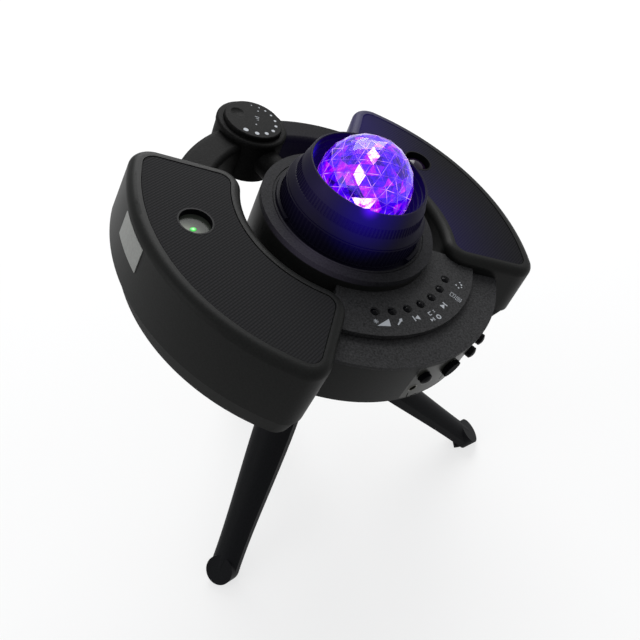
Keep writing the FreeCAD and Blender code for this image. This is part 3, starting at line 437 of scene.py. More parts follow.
# %% Circuit board
board = grained("solder_mask", (0.01, 0.09, 0.035), 0.35, 0.0015, 0.00001, 0.05, specular=0.5)
tree = board.node_tree
tracks = tree.nodes.new("ShaderNodeTexBrick")
tracks.inputs["Scale"].default_value = 220.0
tracks.inputs["Color1"].default_value = (0.012, 0.11, 0.04, 1)
tracks.inputs["Color2"].default_value = (0.008, 0.07, 0.03, 1)
tracks.inputs["Mortar"].default_value = (0.05, 0.2, 0.08, 1)
tree.links.new(tree.nodes.new("ShaderNodeTexCoord").outputs["Object"], tracks.inputs["Vector"])
tree.links.new(tracks.outputs["Color"], tree.nodes["Principled BSDF"].inputs["Base Color"])
finishes["circuit_board"] = board
print("board done")

# %% [markdown]
# ## Speaker cloth
#
# The weave lies in the plane of the wing's top, so a Mapping node turns the row's frame into the case's
# frame and then by the cloth's own slant, because the cloth was not laid quite square.

# %% Speaker cloth material
CLOTH_SLANT = math.radians(14.0)
cloth = finish_with(
    "speaker_cloth", weave_group,
    {"Pitch": 1.3 * MM, "Warp": (0.0155, 0.0155, 0.0168, 1), "Weft": (0.0128, 0.0128, 0.014, 1),
     "Gap": (0.0068, 0.0068, 0.0075, 1), "Depth": 0.00004}, specular=0.1)
tree = cloth.node_tree
to_weave = (CASE.to_3x3() @ Matrix.Rotation(CLOTH_SLANT, 3, "Z")).inverted()
turn = tree.nodes.new("ShaderNodeMapping")
turn.inputs["Rotation"].default_value = to_weave.to_euler()
tree.links.new(tree.nodes.new("ShaderNodeTexCoord").outputs["Object"], turn.inputs["Vector"])
weave = next(node for node in tree.nodes if node.type == "GROUP")
tree.links.new(turn.outputs[0], weave.inputs["Vector"])
finishes["speaker_mesh"] = cloth
print("cloth turned by", [round(x, 3) for x in to_weave.to_euler()])

# %% [markdown]
# ## Window lenses
#
# The left window is a pale smoked plate that gets some of the green lamp's light at its near edge, and the
# right one is a dark violet lens. Both are nearly opaque, so they are glossy rather than clear.

# %% Window glass
finishes["lens_glass"] = grained("smoked_glass", (0.012, 0.006, 0.02), 0.12, 0.004, 0.000002, 0.1,
                                 specular=0.22)
pale_glass = grained("pale_glass", (0.03, 0.034, 0.028), 0.2, 0.003, 0.000004, 0.1, specular=0.1)
GREEN_SPOT = Vector((-77.7, 19.4, 5.5)) * MM
PALE_SPOT = Vector((-82.0, 17.6, 5.4)) * MM
add_dome_light(pale_glass, [(PALE_SPOT, 10.0, 0.42, (0.9, 1.0, 0.8))])
print("glass done")

# %% [markdown]
# ## Making a piece
#
# A new piece is drawn in the case's frame, in metres, and then its vertices are carried into the row's
# frame, so that its object stays at the origin. Sharp edges are marked by angle, which keeps flat faces flat
# and round ones round.

# %% Piece helper


def make_piece(name, shape, body, materials, sharp=35.0):
    """Turns a bmesh in the case's frame into an object that rides on a body."""
    shape.transform(CASE)
    mesh = bpy.data.meshes.new(name)
    for face in shape.faces:
        face.smooth = True
    shape.to_mesh(mesh)
    shape.free()
    mesh.set_sharp_from_angle(angle=math.radians(sharp))
    for material in materials:
        mesh.materials.append(material)
    piece = bpy.data.objects.new(name, mesh)
    bpy.context.scene.collection.objects.link(piece)
    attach(piece, body)
    print(name, len(mesh.polygons), "faces")
    return piece


def spun(profile, steps):
    """A closed ring: the profile's (radius, height) points, in millimetres, spun round the drum's axis."""
    shape = bmesh.new()
    corners = [shape.verts.new((radius * MM, 0, height * MM)) for radius, height in profile]
    edges = [shape.edges.new((corners[n - 1], corners[n])) for n in range(len(corners))]
    bmesh.ops.spin(shape, geom=corners + edges, cent=(0, 0, 0), axis=(0, 0, 1), dvec=(0, 0, 0),
                   angle=math.tau, steps=steps, use_merge=True)
    bmesh.ops.recalc_face_normals(shape, faces=shape.faces)
    return shape


def cut_flutes(shape, flutes, steps_each, depth, low, high, least_radius):
    """Presses every other pair of columns inwards between two heights, in millimetres."""
    total = flutes * steps_each
    pressed = []
    for corner in shape.verts:
        radius = math.hypot(corner.co.x, corner.co.y)
        column = round(math.atan2(corner.co.y, corner.co.x) / math.tau * total) % steps_each
        in_band = low * MM < corner.co.z < high * MM
        if in_band and radius > least_radius * MM and column < steps_each // 2:
            pressed.append((corner, radius))
    for corner, radius in pressed:
        inwards = (radius - depth * MM) / radius
        bmesh.ops.scale(shape, vec=(inwards, inwards, 1), verts=[corner])


print("piece helpers ready")

# %% [markdown]
# ## The hood of the lens barrel
#
# The hood is one turned moulding: a smooth foot band, a band of fine grip ribs, a smooth cone up to a thin
# rim, and inside it a cup with four baffle steps that catch stray light. Spinning its section gives the
# whole ring in one move. The ribs are then pressed in: every second pair of columns in the band moves
# inwards, and because the rows above and below stay, each groove gets neat ends.

# %% Barrel materials with the dome's light
barrel_lit = lit_copy(finishes["barrel_plastic"], "barrel_by_dome", [
    (round_drum(31.0, -44.0, 34.0), 25.0, 0.22, (0.03, 0.0, 1.0)),
    (round_drum(29.0, -44.0, 36.5), 6.0, 1.3, (0.1, 0.0, 1.0)),
    (round_drum(29.5, -88.0, 33.0), 26.0, 0.03, (0.3, 0.2, 1.0)),
    (round_drum(0, 0, 34.0), 50.0, 0.07, (0.2, 0.12, 1.0))])
barrel_tone = PLASTICS["barrel_plastic"][1]
cup_lit = grained("cup_by_dome", barrel_tone, 0.4, 0.0006, 0.00002, 0.2, specular=0.06)
add_dome_light(cup_lit, [(round_drum(0, 0, 24.0), 42.0, 0.32, (0.05, 0.0, 1.0)),
                         (round_drum(26.0, -140.0, 33.0), 13.0, 0.7, (0.02, 0.0, 1.0))])
print("barrel materials done")

# %% Hood
# Heights, then radii, then the rounding of the edges and the cup's steps.
HOOD_LOW = 8.5
FOOT_LOW = 19.9
BAND_TOP = 23.8
RIBS_TOP = 29.0
RIM_TOP = 35.4
FOOT_R = 34.8
RIBS_LOW_R = 32.2
RIBS_TOP_R = 31.1
CONE_R = 30.9
RIM_R = 28.85
CUP_R = 27.9
EASE = 0.1
ROUND = 0.3
CUP_STEPS = 4
STEP_DOWN = 3.4
STEP_IN = 0.55
STEP_EDGE = 0.15
RIBS = 110
RIB_STEPS = 4
RIB_DEEP = 0.75
profile = [(CUP_R, HOOD_LOW), (CUP_R, FOOT_LOW - 0.5), (CUP_R + 0.5, FOOT_LOW), (FOOT_R - 0.2, FOOT_LOW),
           (FOOT_R, FOOT_LOW + 0.25)]
profile += [(RIBS_LOW_R + ROUND, BAND_TOP - EASE), (RIBS_LOW_R, BAND_TOP + EASE)]
profile += [(RIBS_LOW_R - 0.05, BAND_TOP + ROUND), (RIBS_TOP_R, RIBS_TOP - ROUND)]
profile += [(RIBS_TOP_R, RIBS_TOP - EASE)]
profile += [(CONE_R, RIBS_TOP + EASE), (RIM_R + 0.25, RIM_TOP - ROUND), (RIM_R, RIM_TOP)]
profile += [(CUP_R + ROUND, RIM_TOP), (CUP_R, RIM_TOP - ROUND)]
for number in range(CUP_STEPS):
    ledge = RIM_TOP - (number + 1) * STEP_DOWN
    inner = CUP_R - number * STEP_IN
    profile += [(inner, ledge + STEP_EDGE), (inner - STEP_EDGE, ledge), (inner - STEP_IN, ledge)]
profile += [(CUP_R - CUP_STEPS * STEP_IN, HOOD_LOW)]
hood = spun(profile, RIBS * RIB_STEPS)
cut_flutes(hood, RIBS, RIB_STEPS, RIB_DEEP, BAND_TOP + 2 * EASE, RIBS_TOP - 2 * EASE, RIM_R + 0.65)
for face in hood.faces:
    middle = face.calc_center_median()
    inside = math.hypot(middle.x, middle.y) < (CUP_R + EASE) * MM and middle.z > (HOOD_LOW + 0.5) * MM
    face.material_index = 1 if inside else 0
hood_piece = make_piece("hood_ribbed", hood, "case", [barrel_lit, cup_lit])
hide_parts("hood")

# %% [markdown]
# ## The focus ring
#
# Below the hood turns the focus ring, with coarser ribs over its whole height. It is made in the same way,
# with a small chamfer above and below so that the ribs end softly.

# %% Focus ring
FOCUS_LOW = 8.7
FOCUS_HIGH = 19.6
FOCUS_BORE_R = 30.45
FOCUS_R = 35.3
FOCUS_RIBS = 96
FOCUS_RIB_DEEP = 0.8
profile = [(FOCUS_BORE_R, FOCUS_LOW), (FOCUS_R - 0.7, FOCUS_LOW), (FOCUS_R, FOCUS_LOW + 0.4)]
profile += [(FOCUS_R, FOCUS_LOW + 0.6), (FOCUS_R, FOCUS_HIGH - 0.5), (FOCUS_R, FOCUS_HIGH - 0.3)]
profile += [(FOCUS_R - 0.4, FOCUS_HIGH), (FOCUS_BORE_R, FOCUS_HIGH)]
focus = spun(profile, FOCUS_RIBS * RIB_STEPS)
cut_flutes(focus, FOCUS_RIBS, RIB_STEPS, FOCUS_RIB_DEEP, FOCUS_LOW + 0.5, FOCUS_HIGH - 0.4, FOCUS_R - 2.3)
focus_piece = make_piece("focus_grip", focus, "focus", [barrel_lit])
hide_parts("focus_ring")

# %% [markdown]
# ## The crystal dome
#
# The real dome is clear acrylic cut into flat facets, with coloured lamps below it. Two solids make that look.
# Outside is a solid of clear acrylic with some three hundred flat facets, so each facet bends the view a little
# differently, and a hair-fine bevel on its edges glows as thin bright lines: painted glints, drawn as emission.
# Inside it is a heart of facets that glow, each with a tint of its own: mostly blue and violet, some magenta, and
# nearly white on a few listed facets, which are painted glints standing in for highlights. The tints are an
# attribute of the faces, chosen with a fixed seed, so every run gives the same dome.

# %% Dome acrylic
acrylic = bpy.data.materials.new("clear_acrylic")
acrylic.use_nodes = True
tree = acrylic.node_tree
shader = tree.nodes["Principled BSDF"]
shader.inputs["Base Color"].default_value = (0.74, 0.36, 1.0, 1)
shader.inputs["IOR"].default_value = 1.37
shader.inputs["Specular IOR Level"].default_value = 0.35
shader.inputs["Transmission Weight"].default_value = 1.0
feed(tree, chain(tree, "MULTIPLY", noise_at(tree, 0.004, 3.0), 0.05), shader.inputs["Roughness"])
feed(tree, bumped(tree, noise_at(tree, 0.005, 2.0), 0.00008), shader.inputs["Normal"])

# Painted glints: the facet edges' bevel glows as emission, pale violet where a noise mask lets it shine and deep
# blue elsewhere, standing in for light caught by the edges.
painted_edge_glint = bpy.data.materials.new("facet_edge_glint")
painted_edge_glint.use_nodes = True
tree = painted_edge_glint.node_tree
shader = tree.nodes["Principled BSDF"]
shader.inputs["Base Color"].default_value = (0.08, 0.02, 0.3, 1)
shader.inputs["Roughness"].default_value = 0.1
glint_mask = chain(tree, "POWER", chain(tree, "MULTIPLY", noise_at(tree, 0.006, 3.0), 1.75), 7.0, clamp=True)
glint_colour = blended(tree, glint_mask, (0.09, 0.0, 0.7, 1), (0.95, 0.4, 1.0, 1))
tree.links.new(glint_colour, shader.inputs["Emission Color"])
shader.inputs["Emission Strength"].default_value = 1.0
print("acrylic done")

# %% Dome heart finish
heart_glow = bpy.data.materials.new("lit_heart")
heart_glow.use_nodes = True
tree = heart_glow.node_tree
shader = tree.nodes["Principled BSDF"]
shader.inputs["Base Color"].default_value = (0.01, 0.0, 0.06, 1)
shader.inputs["Roughness"].default_value = 0.4
tint = tree.nodes.new("ShaderNodeAttribute")
tint.attribute_name = "glow_and_glint_tint"
ramp = tree.nodes.new("ShaderNodeValToRGB")
# The last stop, brighter than white, is the colour of the painted glints.
stops = [(0.0, (0.01, 0.0, 0.16)), (0.2, (0.03, 0.0, 0.55)), (0.4, (0.06, 0.0, 1.0)),
         (0.58, (0.22, 0.0, 1.0)), (0.74, (0.55, 0.0, 0.95)), (0.86, (0.9, 0.08, 1.0)),
         (1.0, (2.2, 2.2, 2.4))]
for place, colour in stops[2:]:
    ramp.color_ramp.elements.new(place)
for element, (place, colour) in zip(ramp.color_ramp.elements, stops):
    element.position = place
    element.color = (*colour, 1)
swirl = chain(tree, "MULTIPLY", chain(tree, "SUBTRACT", noise_at(tree, 0.0028, 3.0, 0.6), 0.5), 0.95)
feed(tree, chain(tree, "ADD", tint.outputs["Fac"], swirl, clamp=True), ramp.inputs[0])
tree.links.new(ramp.outputs[0], shader.inputs["Emission Color"])
shader.inputs["Emission Strength"].default_value = 1.0
print("heart finish done")

# %% Dome solids
DOME_R = 23.0
DOME_CUT = 10.9
HEART_R = 17.6
HEART_CUT = 14.0
FACET_BEVEL = 0.11


def facet_ball(radius, turn, cut_height):
    """A faceted ball about the dome's centre, cut flat below a height; both are in millimetres."""
    shape = bmesh.new()
    bmesh.ops.create_icosphere(shape, subdivisions=3, radius=radius * MM, matrix=turn)
    bmesh.ops.translate(shape, vec=(0, 0, DOME_CENTRE), verts=shape.verts)
    whole = shape.verts[:] + shape.edges[:] + shape.faces[:]
    cut = bmesh.ops.bisect_plane(shape, geom=whole, plane_co=(0, 0, cut_height * MM), plane_no=(0, 0, 1),
                                 clear_inner=True)
    rim = [item for item in cut["geom_cut"] if isinstance(item, bmesh.types.BMEdge)]
    bmesh.ops.edgenet_fill(shape, edges=rim)
    bmesh.ops.recalc_face_normals(shape, faces=shape.faces)
    return shape


outer = facet_ball(DOME_R, Matrix.Rotation(0.4, 4, "X") @ Matrix.Rotation(0.3, 4, "Y"), DOME_CUT)
crests = [edge for edge in outer.edges if min(v.co.z for v in edge.verts) > (DOME_CUT + 0.5) * MM]
bmesh.ops.bevel(outer, geom=crests, offset=FACET_BEVEL * MM, offset_type="OFFSET", affect="EDGES", segments=1,
                profile=0.5, material=1)
dome_piece = make_piece("dome_facets", outer, "dome", [acrylic, painted_edge_glint], sharp=1.0)
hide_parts("crystal_dome")

# %% Dome heart
# Painted glints: facets drawn nearly white where a highlight stands, seen from the dome's centre: azimuth,
# elevation, half-angle, tint.
PAINTED_GLINTS = ((-80, 40, 8, 1.0), (-47, 10, 11, 1.0), (-84, 74, 9, 0.93), (-50, 24, 8, 0.7))
heart = facet_ball(HEART_R, Matrix.Rotation(0.9, 4, "Y") @ Matrix.Rotation(0.2, 4, "X"), HEART_CUT)
SEED = 11
dice = random.Random(SEED)
tints = heart.faces.layers.float.new("glow_and_glint_tint")
for face in heart.faces:
    face[tints] = dice.choice((0.12, 0.28, 0.34, 0.38, 0.42, 0.46, 0.5, 0.54, 0.64, 0.72))
    way = face.calc_center_median() - Vector((0, 0, DOME_CENTRE))
    for azimuth, elevation, half_angle, tone in PAINTED_GLINTS:
        flat = math.cos(math.radians(elevation))
        glint_way = round_drum(flat, azimuth, math.sin(math.radians(elevation)))
        if way.angle(glint_way) < math.radians(half_angle):
            face[tints] = tone
make_piece("dome_heart", heart, "dome", [heart_glow], sharp=1.0)

# %% [markdown]
# ## Printed marks
#
# The marks beside the keys are printed in a thin grey-white ink. Flat shapes are drawn on the panel and
# given the thickness of ink. All are signs in common use: a sun with a wedge for the brightness, a torch, the
# usual signs to go back, play and go on, a ring of dots, two picture frames and a few dots for the stars.

# %% Ink helpers
INK = 0.05
INK_SUNK = 0.02
PANEL_TOP = 3.1
ink = grained("print_ink", (0.42, 0.44, 0.47), 0.6, 0.0006, 0.000008, 0.04)


def thicken(shape, face):
    """Gives a flat face the thickness of ink."""
    grown = bmesh.ops.extrude_face_region(shape, geom=[face])
    raised = [item for item in grown["geom"] if isinstance(item, bmesh.types.BMVert)]
    bmesh.ops.translate(shape, vec=(0, 0, INK * MM), verts=raised)


def ink_patch(shape, points, height):
    """A flat patch of ink on a plane of the case; points are (x, y) in millimetres."""
    corners = [shape.verts.new(Vector((x, y, height - INK_SUNK)) * MM) for x, y in points]
    thicken(shape, shape.faces.new(corners))


def ink_dot(shape, x, y, radius, height, sides=20):
    """A round dot of ink."""
    made = bmesh.ops.create_circle(shape, cap_ends=True, segments=sides, radius=radius * MM)["verts"]
    bmesh.ops.translate(shape, vec=Vector((x, y, height - INK_SUNK)) * MM, verts=made)
    thicken(shape, made[0].link_faces[0])


def ink_bar(shape, start, end, width, height):
    """A straight bar of ink between two points."""
    run = (Vector(end) - Vector(start)).normalized() * width / 2
    side = Vector((-run.y, run.x))
    a, b = Vector(start), Vector(end)
    ink_patch(shape, [a + side, b + side, b - side, a - side], height)


def by_key(azimuth, radius, shapes):
    """Turns (right, down) points about a spot beside a key into points of the panel."""
    angle = math.radians(azimuth)
    right = Vector((math.cos(angle), math.sin(angle)))
    down = Vector((math.sin(angle), -math.cos(angle)))
    return [[down * radius + right * x + down * y for x, y in points] for points in shapes]


print("ink helpers ready")

# %% Marks beside the panel keys
marks = bmesh.new()
signs = []
signs += by_key(-28.3, 62.0, [[(-0.45, -0.45), (0.45, -0.45), (0.45, 0.45), (-0.45, 0.45)],
                              [(-0.12, -1.3), (0.12, -1.3), (0.12, 1.3), (-0.12, 1.3)],
                              [(-1.3, -0.12), (1.3, -0.12), (1.3, 0.12), (-1.3, 0.12)],
                              [(-0.95, -0.79), (-0.79, -0.95), (0.95, 0.79), (0.79, 0.95)],
                              [(0.79, -0.95), (0.95, -0.79), (-0.79, 0.95), (-0.95, 0.79)]])
signs += [[(-30.6, -56.8), (-22.4, -56.2), (-24.5, -59.8)]]
signs += [[(-15.9, -58.7), (-16.8, -60.0), (-17.8, -60.0), (-20.4, -61.0), (-20.7, -60.5), (-18.2, -59.3),
           (-17.4, -58.4)]]
signs += by_key(-7.7, 62.2, [[(-1.9, -1.5), (-1.3, -1.5), (-1.3, 1.5), (-1.9, 1.5)],
                             [(-1.1, 0.0), (1.6, -1.4), (1.6, 1.4)]])
signs += by_key(0.6, 62.6, [[(-1.2, -1.0), (-0.8, -1.0), (-0.8, 1.0), (-1.2, 1.0)],
                            [(-0.8, -1.0), (0.9, -1.0), (0.9, -0.6), (-0.8, -0.6)],
                            [(-0.8, 0.6), (0.3, 0.6), (0.3, 1.0), (-0.8, 1.0)]])
signs += by_key(3.2, 62.4, [[(-0.55, -0.75), (-0.3, -0.75), (0.55, 0.75), (0.3, 0.75)],
                            [(0.3, -0.75), (0.55, -0.75), (-0.3, 0.75), (-0.55, 0.75)]])
signs += by_key(-0.8, 65.8, [[(-1.3, -0.9), (0.0, 0.0), (-1.3, 0.9)],
                             [(0.3, -0.9), (0.6, -0.9), (0.6, 0.9), (0.3, 0.9)],
                             [(0.9, -0.9), (1.2, -0.9), (1.2, 0.9), (0.9, 0.9)]])
signs += by_key(10.3, 63.0, [[(-1.6, -1.4), (1.0, 0.0), (-1.6, 1.4)],
                             [(1.2, -1.4), (1.8, -1.4), (1.8, 1.4), (1.2, 1.4)]])
for azimuth, radius, bars in ((20.1, 63.1, (0.2,)), (19.8, 66.5, (-0.6, 0.0, 0.6))):
    frame_bars = [[(-1.4, -1.4), (1.4, -1.4), (1.4, -1.2), (-1.4, -1.2)],
                  [(-1.4, 1.2), (1.4, 1.2), (1.4, 1.4), (-1.4, 1.4)],
                  [(-1.4, -1.2), (-1.2, -1.2), (-1.2, 1.2), (-1.4, 1.2)],
                  [(1.2, -1.2), (1.4, -1.2), (1.4, 1.2), (1.2, 1.2)]]
    frame_bars += [[(-0.8, y - 0.1), (0.8, y - 0.1), (0.8, y + 0.1), (-0.8, y + 0.1)] for y in bars]
    signs += by_key(azimuth, radius, frame_bars)
for points in signs:
    ink_patch(marks, points, PANEL_TOP)
WREATH = Vector((3.3, -65.9))
WREATH_R = 1.05
WREATH_DOTS = 12
for number in range(WREATH_DOTS):
    turn_by = number * math.tau / WREATH_DOTS
    spot = WREATH + WREATH_R * Vector((math.cos(turn_by), math.sin(turn_by)))
    ink_dot(marks, spot.x, spot.y, 0.38, PANEL_TOP, 10)
STARS = ((29.0, -55.2, 0.45), (31.9, -56.4, 0.5), (32.3, -54.9, 0.4), (28.8, -57.1, 0.42),
         (30.7, -57.6, 0.35))
for x, y, radius in STARS:
    ink_dot(marks, x, y, radius, PANEL_TOP, 14)
bmesh.ops.recalc_face_normals(marks, faces=marks.faces)
make_piece("panel_marks", marks, "case", [ink])

# %% [markdown]
# ## The dial's scale
#
# Ten dots that grow from a speck to a bead run round the volume dial, so the hand knows which way is louder.
# Between two specks in the middle stand three small bars of growing height.

# %% Dial marks
DIAL_TOP = 6.3
DIAL_Y = 78.0
DIAL_RING = 12.1
azimuths = (149.4, 129.4, 111.2, 91.6, 69.0, 46.6, 22.6, -2.3, -28.7, -57.3)
sizes = (0.3, 0.42, 0.55, 0.65, 0.75, 0.85, 0.95, 1.1, 1.2, 1.35)
scale = bmesh.new()
for azimuth, size in zip(azimuths, sizes):
    spot = round_drum(DIAL_RING, azimuth, 0) / MM
    ink_dot(scale, spot.x, spot.y + DIAL_Y, size, DIAL_TOP, 24)
for x, y in ((6.8, 5.2), (-1.6, -4.3)):
    ink_dot(scale, x, y + DIAL_Y, 0.4, DIAL_TOP, 14)
row = Vector((0.66, 0.75))
across = Vector((-0.75, 0.66))
for number, tall in enumerate((0.9, 1.6, 2.3)):
    foot = Vector((1.4, -1.2 + DIAL_Y)) + row * 1.4 * number + across * -0.8
    ink_bar(scale, foot, foot + across * tall, 0.35, DIAL_TOP)
bmesh.ops.recalc_face_normals(scale, faces=scale.faces)
make_piece("dial_marks", scale, "dial", [ink])

# %% [markdown]
# ## Marks on the side strip
#
# Short dark lines on the strip stand by the knob and the socket. Each is a thin bar that is laid on the
# strip's curved face, turned to its own slope and sunk into it by half its thickness.

# %% Side strip marks
dark_ink = grained("dark_ink", (0.002, 0.002, 0.002), 0.6, 0.0006, 0.000006, 0.04, specular=0.01)
ticks = bmesh.new()
STRIP_R = 84.7
TICK_WIDTH = 0.5
TICK_DEEP = 0.1
# Each line's two ends, as (azimuth, height) on the strip.
LINES = (((1.1, -21.7), (1.0, -17.5)), ((4.6, -11.7), (8.1, -13.5)), ((0.9, -26.3), (3.0, -25.3)),
         ((-12.2, -26.4), (-12.8, -22.8)), ((-10.4, -26.6), (-8.3, -25.5)))
for (azimuth, height), (azimuth_end, height_end) in LINES:
    run = Vector((STRIP_R * math.radians(azimuth_end - azimuth), height_end - height))
    grown = bmesh.ops.create_cube(ticks, size=1.0)["verts"]
    bmesh.ops.scale(ticks, vec=Vector((run.length, TICK_DEEP, TICK_WIDTH)) * MM, verts=grown)
    slope = Matrix.Rotation(-math.atan2(run.y, run.x), 3, "Y")
    bmesh.ops.rotate(ticks, cent=(0, 0, 0), matrix=slope, verts=grown)
    middle = (azimuth + azimuth_end) / 2
    bmesh.ops.rotate(ticks, cent=(0, 0, 0), matrix=Matrix.Rotation(math.radians(middle), 3, "Z"), verts=grown)
    bmesh.ops.translate(ticks, vec=round_drum(STRIP_R, middle, (height + height_end) / 2), verts=grown)
make_piece("strip_marks", ticks, "case", [dark_ink])

# %% [markdown]
# ## The socket's rim
#
# A thin dark metal rim lines the mouth of the headphone socket. It is a small ring with a round lip, so its
# section is spun round the hole's own axis, which points out of the console's side.

# %% Socket rim
JACK_AZ = -12.5
JACK_Z = -18.7
rim = bmesh.new()
section = [rim.verts.new(Vector((radius, 0, rise)) * MM) for radius, rise in
           ((1.85, -0.1), (2.45, -0.1), (2.4, 0.15), (2.15, 0.25), (1.9, 0.15))]
edges = [rim.edges.new((section[n - 1], section[n])) for n in range(len(section))]
bmesh.ops.spin(rim, geom=section + edges, cent=(0, 0, 0), axis=(0, 0, 1), dvec=(0, 0, 0), angle=math.tau,
               steps=48, use_merge=True)
bmesh.ops.recalc_face_normals(rim, faces=rim.faces)
bmesh.ops.rotate(rim, cent=(0, 0, 0), matrix=Matrix.Rotation(math.radians(90), 3, "X"), verts=rim.verts)
bmesh.ops.rotate(rim, cent=(0, 0, 0), matrix=Matrix.Rotation(math.radians(JACK_AZ), 3, "Z"), verts=rim.verts)
bmesh.ops.translate(rim, vec=round_drum(STRIP_R, JACK_AZ, JACK_Z), verts=rim.verts)
dull_nickel = finish_with(
    "dull_nickel", brushed_group, {"Colour": (0.1, 0.1, 0.09, 1), "Roughness": 0.4}, metal=1.0)
make_piece("jack_rim", rim, "case", [dull_nickel], sharp=60.0)

# %% [markdown]
# ## The green point
#
# Behind the left window a green point shines at the near edge of the glass: white in its middle, then pure
# green, then a faint haze. A flattened bead with a glow that fades from its middle gives that.

# %% Green point
GREEN_REACH = 1.7
GREEN_R = 1.6
green = bpy.data.materials.new("green_point")
green.use_nodes = True
tree = green.node_tree
shader = tree.nodes["Principled BSDF"]
shader.inputs["Base Color"].default_value = (0.02, 0.1, 0.03, 1)
reach = tree.nodes.new("ShaderNodeVectorMath")
reach.operation = "DISTANCE"
tree.links.new(tree.nodes.new("ShaderNodeTexCoord").outputs["Object"], reach.inputs[0])
reach.inputs[1].default_value = CASE @ GREEN_SPOT
ramp = tree.nodes.new("ShaderNodeValToRGB")
ramp.color_ramp.elements[0].color = (0.9, 1.3, 0.9, 1)
ramp.color_ramp.elements[1].color = (0.0, 0.12, 0.01, 1)
ramp.color_ramp.elements.new(0.45).color = (0.02, 0.9, 0.05, 1)
feed(tree, chain(tree, "DIVIDE", reach.outputs["Value"], GREEN_REACH * MM), ramp.inputs[0])
tree.links.new(ramp.outputs[0], shader.inputs["Emission Color"])
shader.inputs["Emission Strength"].default_value = 1.0
bead = bmesh.new()
bmesh.ops.create_icosphere(bead, subdivisions=3, radius=GREEN_R * MM)
bmesh.ops.scale(bead, vec=(1.1, 0.75, 0.12), verts=bead.verts)
bmesh.ops.translate(bead, vec=GREEN_SPOT, verts=bead.verts)
make_piece("green_bead", bead, "case", [green])

# %% [markdown]
# ## Dressing the CAD nodes
#
# The record names a material slot for each node, so one loop hands out the finishes. A few nodes differ from their
# slot: those beside the dome get its light, painted as emission; the collar and the right wing's cloth are drawn
# darker as painted shade; and the wings' undersides and the side knob are duller.

# %% Finishes for the nodes
over_hood = (round_drum(0, 0, 40.0), 110.0, 0.2, (0.15, 0.08, 1.0))
past_hood = (Vector((62.0, 62.0, 20.0)) * MM, 60.0, 0.1, (0.1, 0.03, 1.0))
# by_rim is a faint pale-violet painted light on the collar's front.
by_rim = (round_drum(38.0, -70.0, 12.0), 40.0, 0.035, (0.75, 0.65, 1.0))
on_arm = (round_drum(0, 0, 40.0), 110.0, 0.07, (0.3, 0.2, 1.0))
# The collar has the top plates' etched grain but a darker tone: painted shade, with the painted light of by_rim
# added.
collar_shaded_and_lit = grained("charcoal_shaded_and_lit_by_dome", (0.0125, 0.0125, 0.0145), 0.6, 0.0009, 0.0001, 0.85,
                     specular=0.08)
add_dome_light(collar_shaded_and_lit, [by_rim])
wing_lit = lit_copy(finishes["wall_plastic"], "wall_by_dome", [past_hood])
arm_lit = lit_copy(finishes["arm_plastic"], "arm_by_dome", [on_arm])
dull_key = grained("dull_key", (0.002, 0.002, 0.003), 0.6, 0.0006, 0.00002, 0.2, specular=0.01)
under_wing = grained("dull_wall", PLASTICS["wall_plastic"][1], 0.6, 0.0008, 0.00004, 0.3, specular=0.03)

# The right wing's cloth is drawn darker than the left one's, its threads' colours dimmed: painted shade.
CLOTH_PAINTED_SHADE = 0.7
cloth_lit_and_shaded = lit_copy(cloth, "cloth_shaded_and_lit_by_dome", [over_hood, past_hood])
cloth_lit_and_shaded.node_tree.nodes["Principled BSDF"].inputs["Specular IOR Level"].default_value = 0.06
groups = [node for node in cloth_lit_and_shaded.node_tree.nodes if node.type == "GROUP"]
shaded = next(node for node in groups if node.node_tree == weave_group)
for label in ("Warp", "Weft", "Gap"):
    full = shaded.inputs[label].default_value[:3]
    shaded.inputs[label].default_value = (*(CLOTH_PAINTED_SHADE * value for value in full), 1)

special = {"collar_ring": collar_shaded_and_lit, "barrel_base": barrel_lit, "window_lens_left": pale_glass,
           "wing_shell_right": wing_lit, "rear_arm_right": arm_lit, "grille_right": cloth_lit_and_shaded,
           "side_strip": strip_plastic, "side_knob": dull_key,
           "wing_base_left": under_wing, "wing_base_right": under_wing}
slots = {row["node"]: row["material_slot"] for row in frame["record"]["subparts"]}
finishes["dome_acrylic"] = acrylic
for name, node in frame["nodes"].items():
    material = special.get(name) or finishes[slots[name]]
    if not node.material_slots:
        node.data.materials.append(material)
    for held in node.material_slots:
        held.material = material
print("dressed", len(frame["nodes"]), "nodes")

# %% [markdown]
# ## Stage and light
#
# The object stands on a plain white floor. A white floor that is lit like the object would look grey, so a
# share of what the camera and glossy faces see of it is plain white, and the rest is real floor, which keeps
# the shadow. Light that bounces off the floor would wash out the black walls, so for that the floor is grey.

# %% Floor
WHITE_SHARE = 0.7
FLOOR_HALF = 4.0
FLOOR_DROP = 0.0002
floor_material = bpy.data.materials.new("floor")
floor_material.use_nodes = True
tree = floor_material.node_tree
tree.nodes.remove(tree.nodes["Principled BSDF"])
matt = tree.nodes.new("ShaderNodeBsdfDiffuse")
glow = tree.nodes.new("ShaderNodeEmission")
glow.inputs["Strength"].default_value = 1.0
ray = tree.nodes.new("ShaderNodeLightPath")
mix = tree.nodes.new("ShaderNodeMixShader")
seen = chain(tree, "MAXIMUM", ray.outputs["Is Camera Ray"], ray.outputs["Is Glossy Ray"])
seen = chain(tree, "MAXIMUM", seen, ray.outputs["Is Transmission Ray"])
feed(tree, chain(tree, "MULTIPLY", seen, WHITE_SHARE), mix.inputs[0])
tree.links.new(blended(tree, ray.outputs["Is Diffuse Ray"], (0.85, 0.85, 0.85, 1), (0.2, 0.2, 0.2, 1)),
               matt.inputs["Color"])
tree.links.new(matt.outputs[0], mix.inputs[1])
tree.links.new(glow.outputs[0], mix.inputs[2])
tree.links.new(mix.outputs[0], tree.nodes["Material Output"].inputs["Surface"])
floor_shape = bmesh.new()
bmesh.ops.create_grid(floor_shape, x_segments=1, y_segments=1, size=FLOOR_HALF)
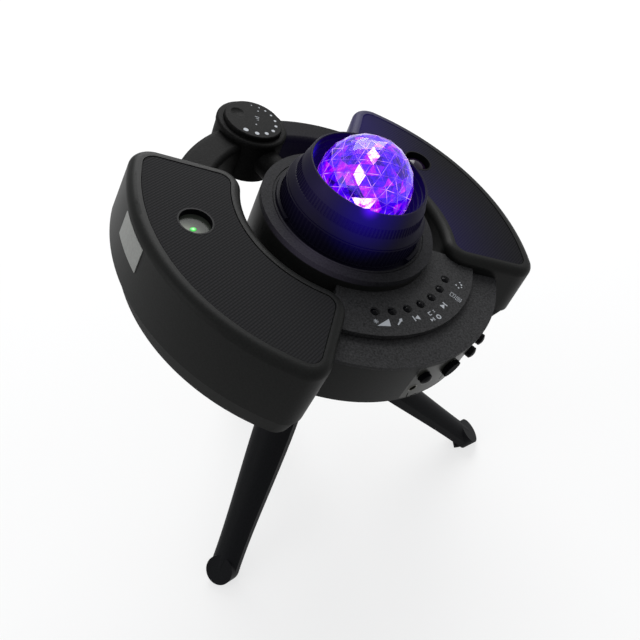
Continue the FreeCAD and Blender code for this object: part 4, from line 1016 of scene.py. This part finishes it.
floor_mesh = bpy.data.meshes.new("floor")
floor_shape.to_mesh(floor_mesh)
floor_shape.free()
floor_mesh.materials.append(floor_material)
floor = bpy.data.objects.new("floor", floor_mesh)
floor.location.z = -FLOOR_DROP
bpy.context.scene.collection.objects.link(floor)
floor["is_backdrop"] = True
print("floor done")

# %% World and lamps
ROOM_LOW = 0.1
ROOM_RISE = 0.7
LAMP_AIM = Vector((0, 0, 0.15))
world = bpy.data.worlds.new("room")
bpy.context.scene.world = world
world.use_nodes = True
tree = world.node_tree
plain = tree.nodes["Background"]
plain.inputs["Color"].default_value = (0.96, 0.98, 1.0, 1)
direction = tree.nodes.new("ShaderNodeSeparateXYZ")
tree.links.new(tree.nodes.new("ShaderNodeTexCoord").outputs["Generated"], direction.inputs[0])
overhead = chain(tree, "MAXIMUM", direction.outputs[2], 0.0)
rise = chain(tree, "MULTIPLY", overhead, ROOM_RISE)
feed(tree, chain(tree, "ADD", ROOM_LOW, rise), plain.inputs["Strength"])
white = tree.nodes.new("ShaderNodeBackground")
white.inputs["Strength"].default_value = 1.0
ray = tree.nodes.new("ShaderNodeLightPath")
seen = chain(tree, "MAXIMUM", ray.outputs["Is Camera Ray"], ray.outputs["Is Glossy Ray"])
seen = chain(tree, "MAXIMUM", seen, ray.outputs["Is Transmission Ray"])
mix = tree.nodes.new("ShaderNodeMixShader")
tree.links.new(seen, mix.inputs[0])
tree.links.new(plain.outputs[0], mix.inputs[1])
tree.links.new(white.outputs[0], mix.inputs[2])
tree.links.new(mix.outputs[0], tree.nodes["World Output"].inputs["Surface"])


def soft_lamp(name, place, size, power):
    """A square soft box that faces the object's middle."""
    data = bpy.data.lights.new(name, "AREA")
    data.size = size
    data.energy = power
    lamp = bpy.data.objects.new(name, data)
    lamp.location = place
    lamp.rotation_euler = (LAMP_AIM - Vector(place)).to_track_quat("-Z", "Y").to_euler()
    bpy.context.scene.collection.objects.link(lamp)


soft_lamp("back_box", (0.7, 0.7, 1.0), 0.9, 16.0)
soft_lamp("left_box", (-1.1, 0.3, 0.6), 0.7, 3.0)
print("lamps done")

# %% Sizes
made_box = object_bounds()
sizes = {"cad": [list(corner) for corner in cad_box], "visual": [list(corner) for corner in made_box]}
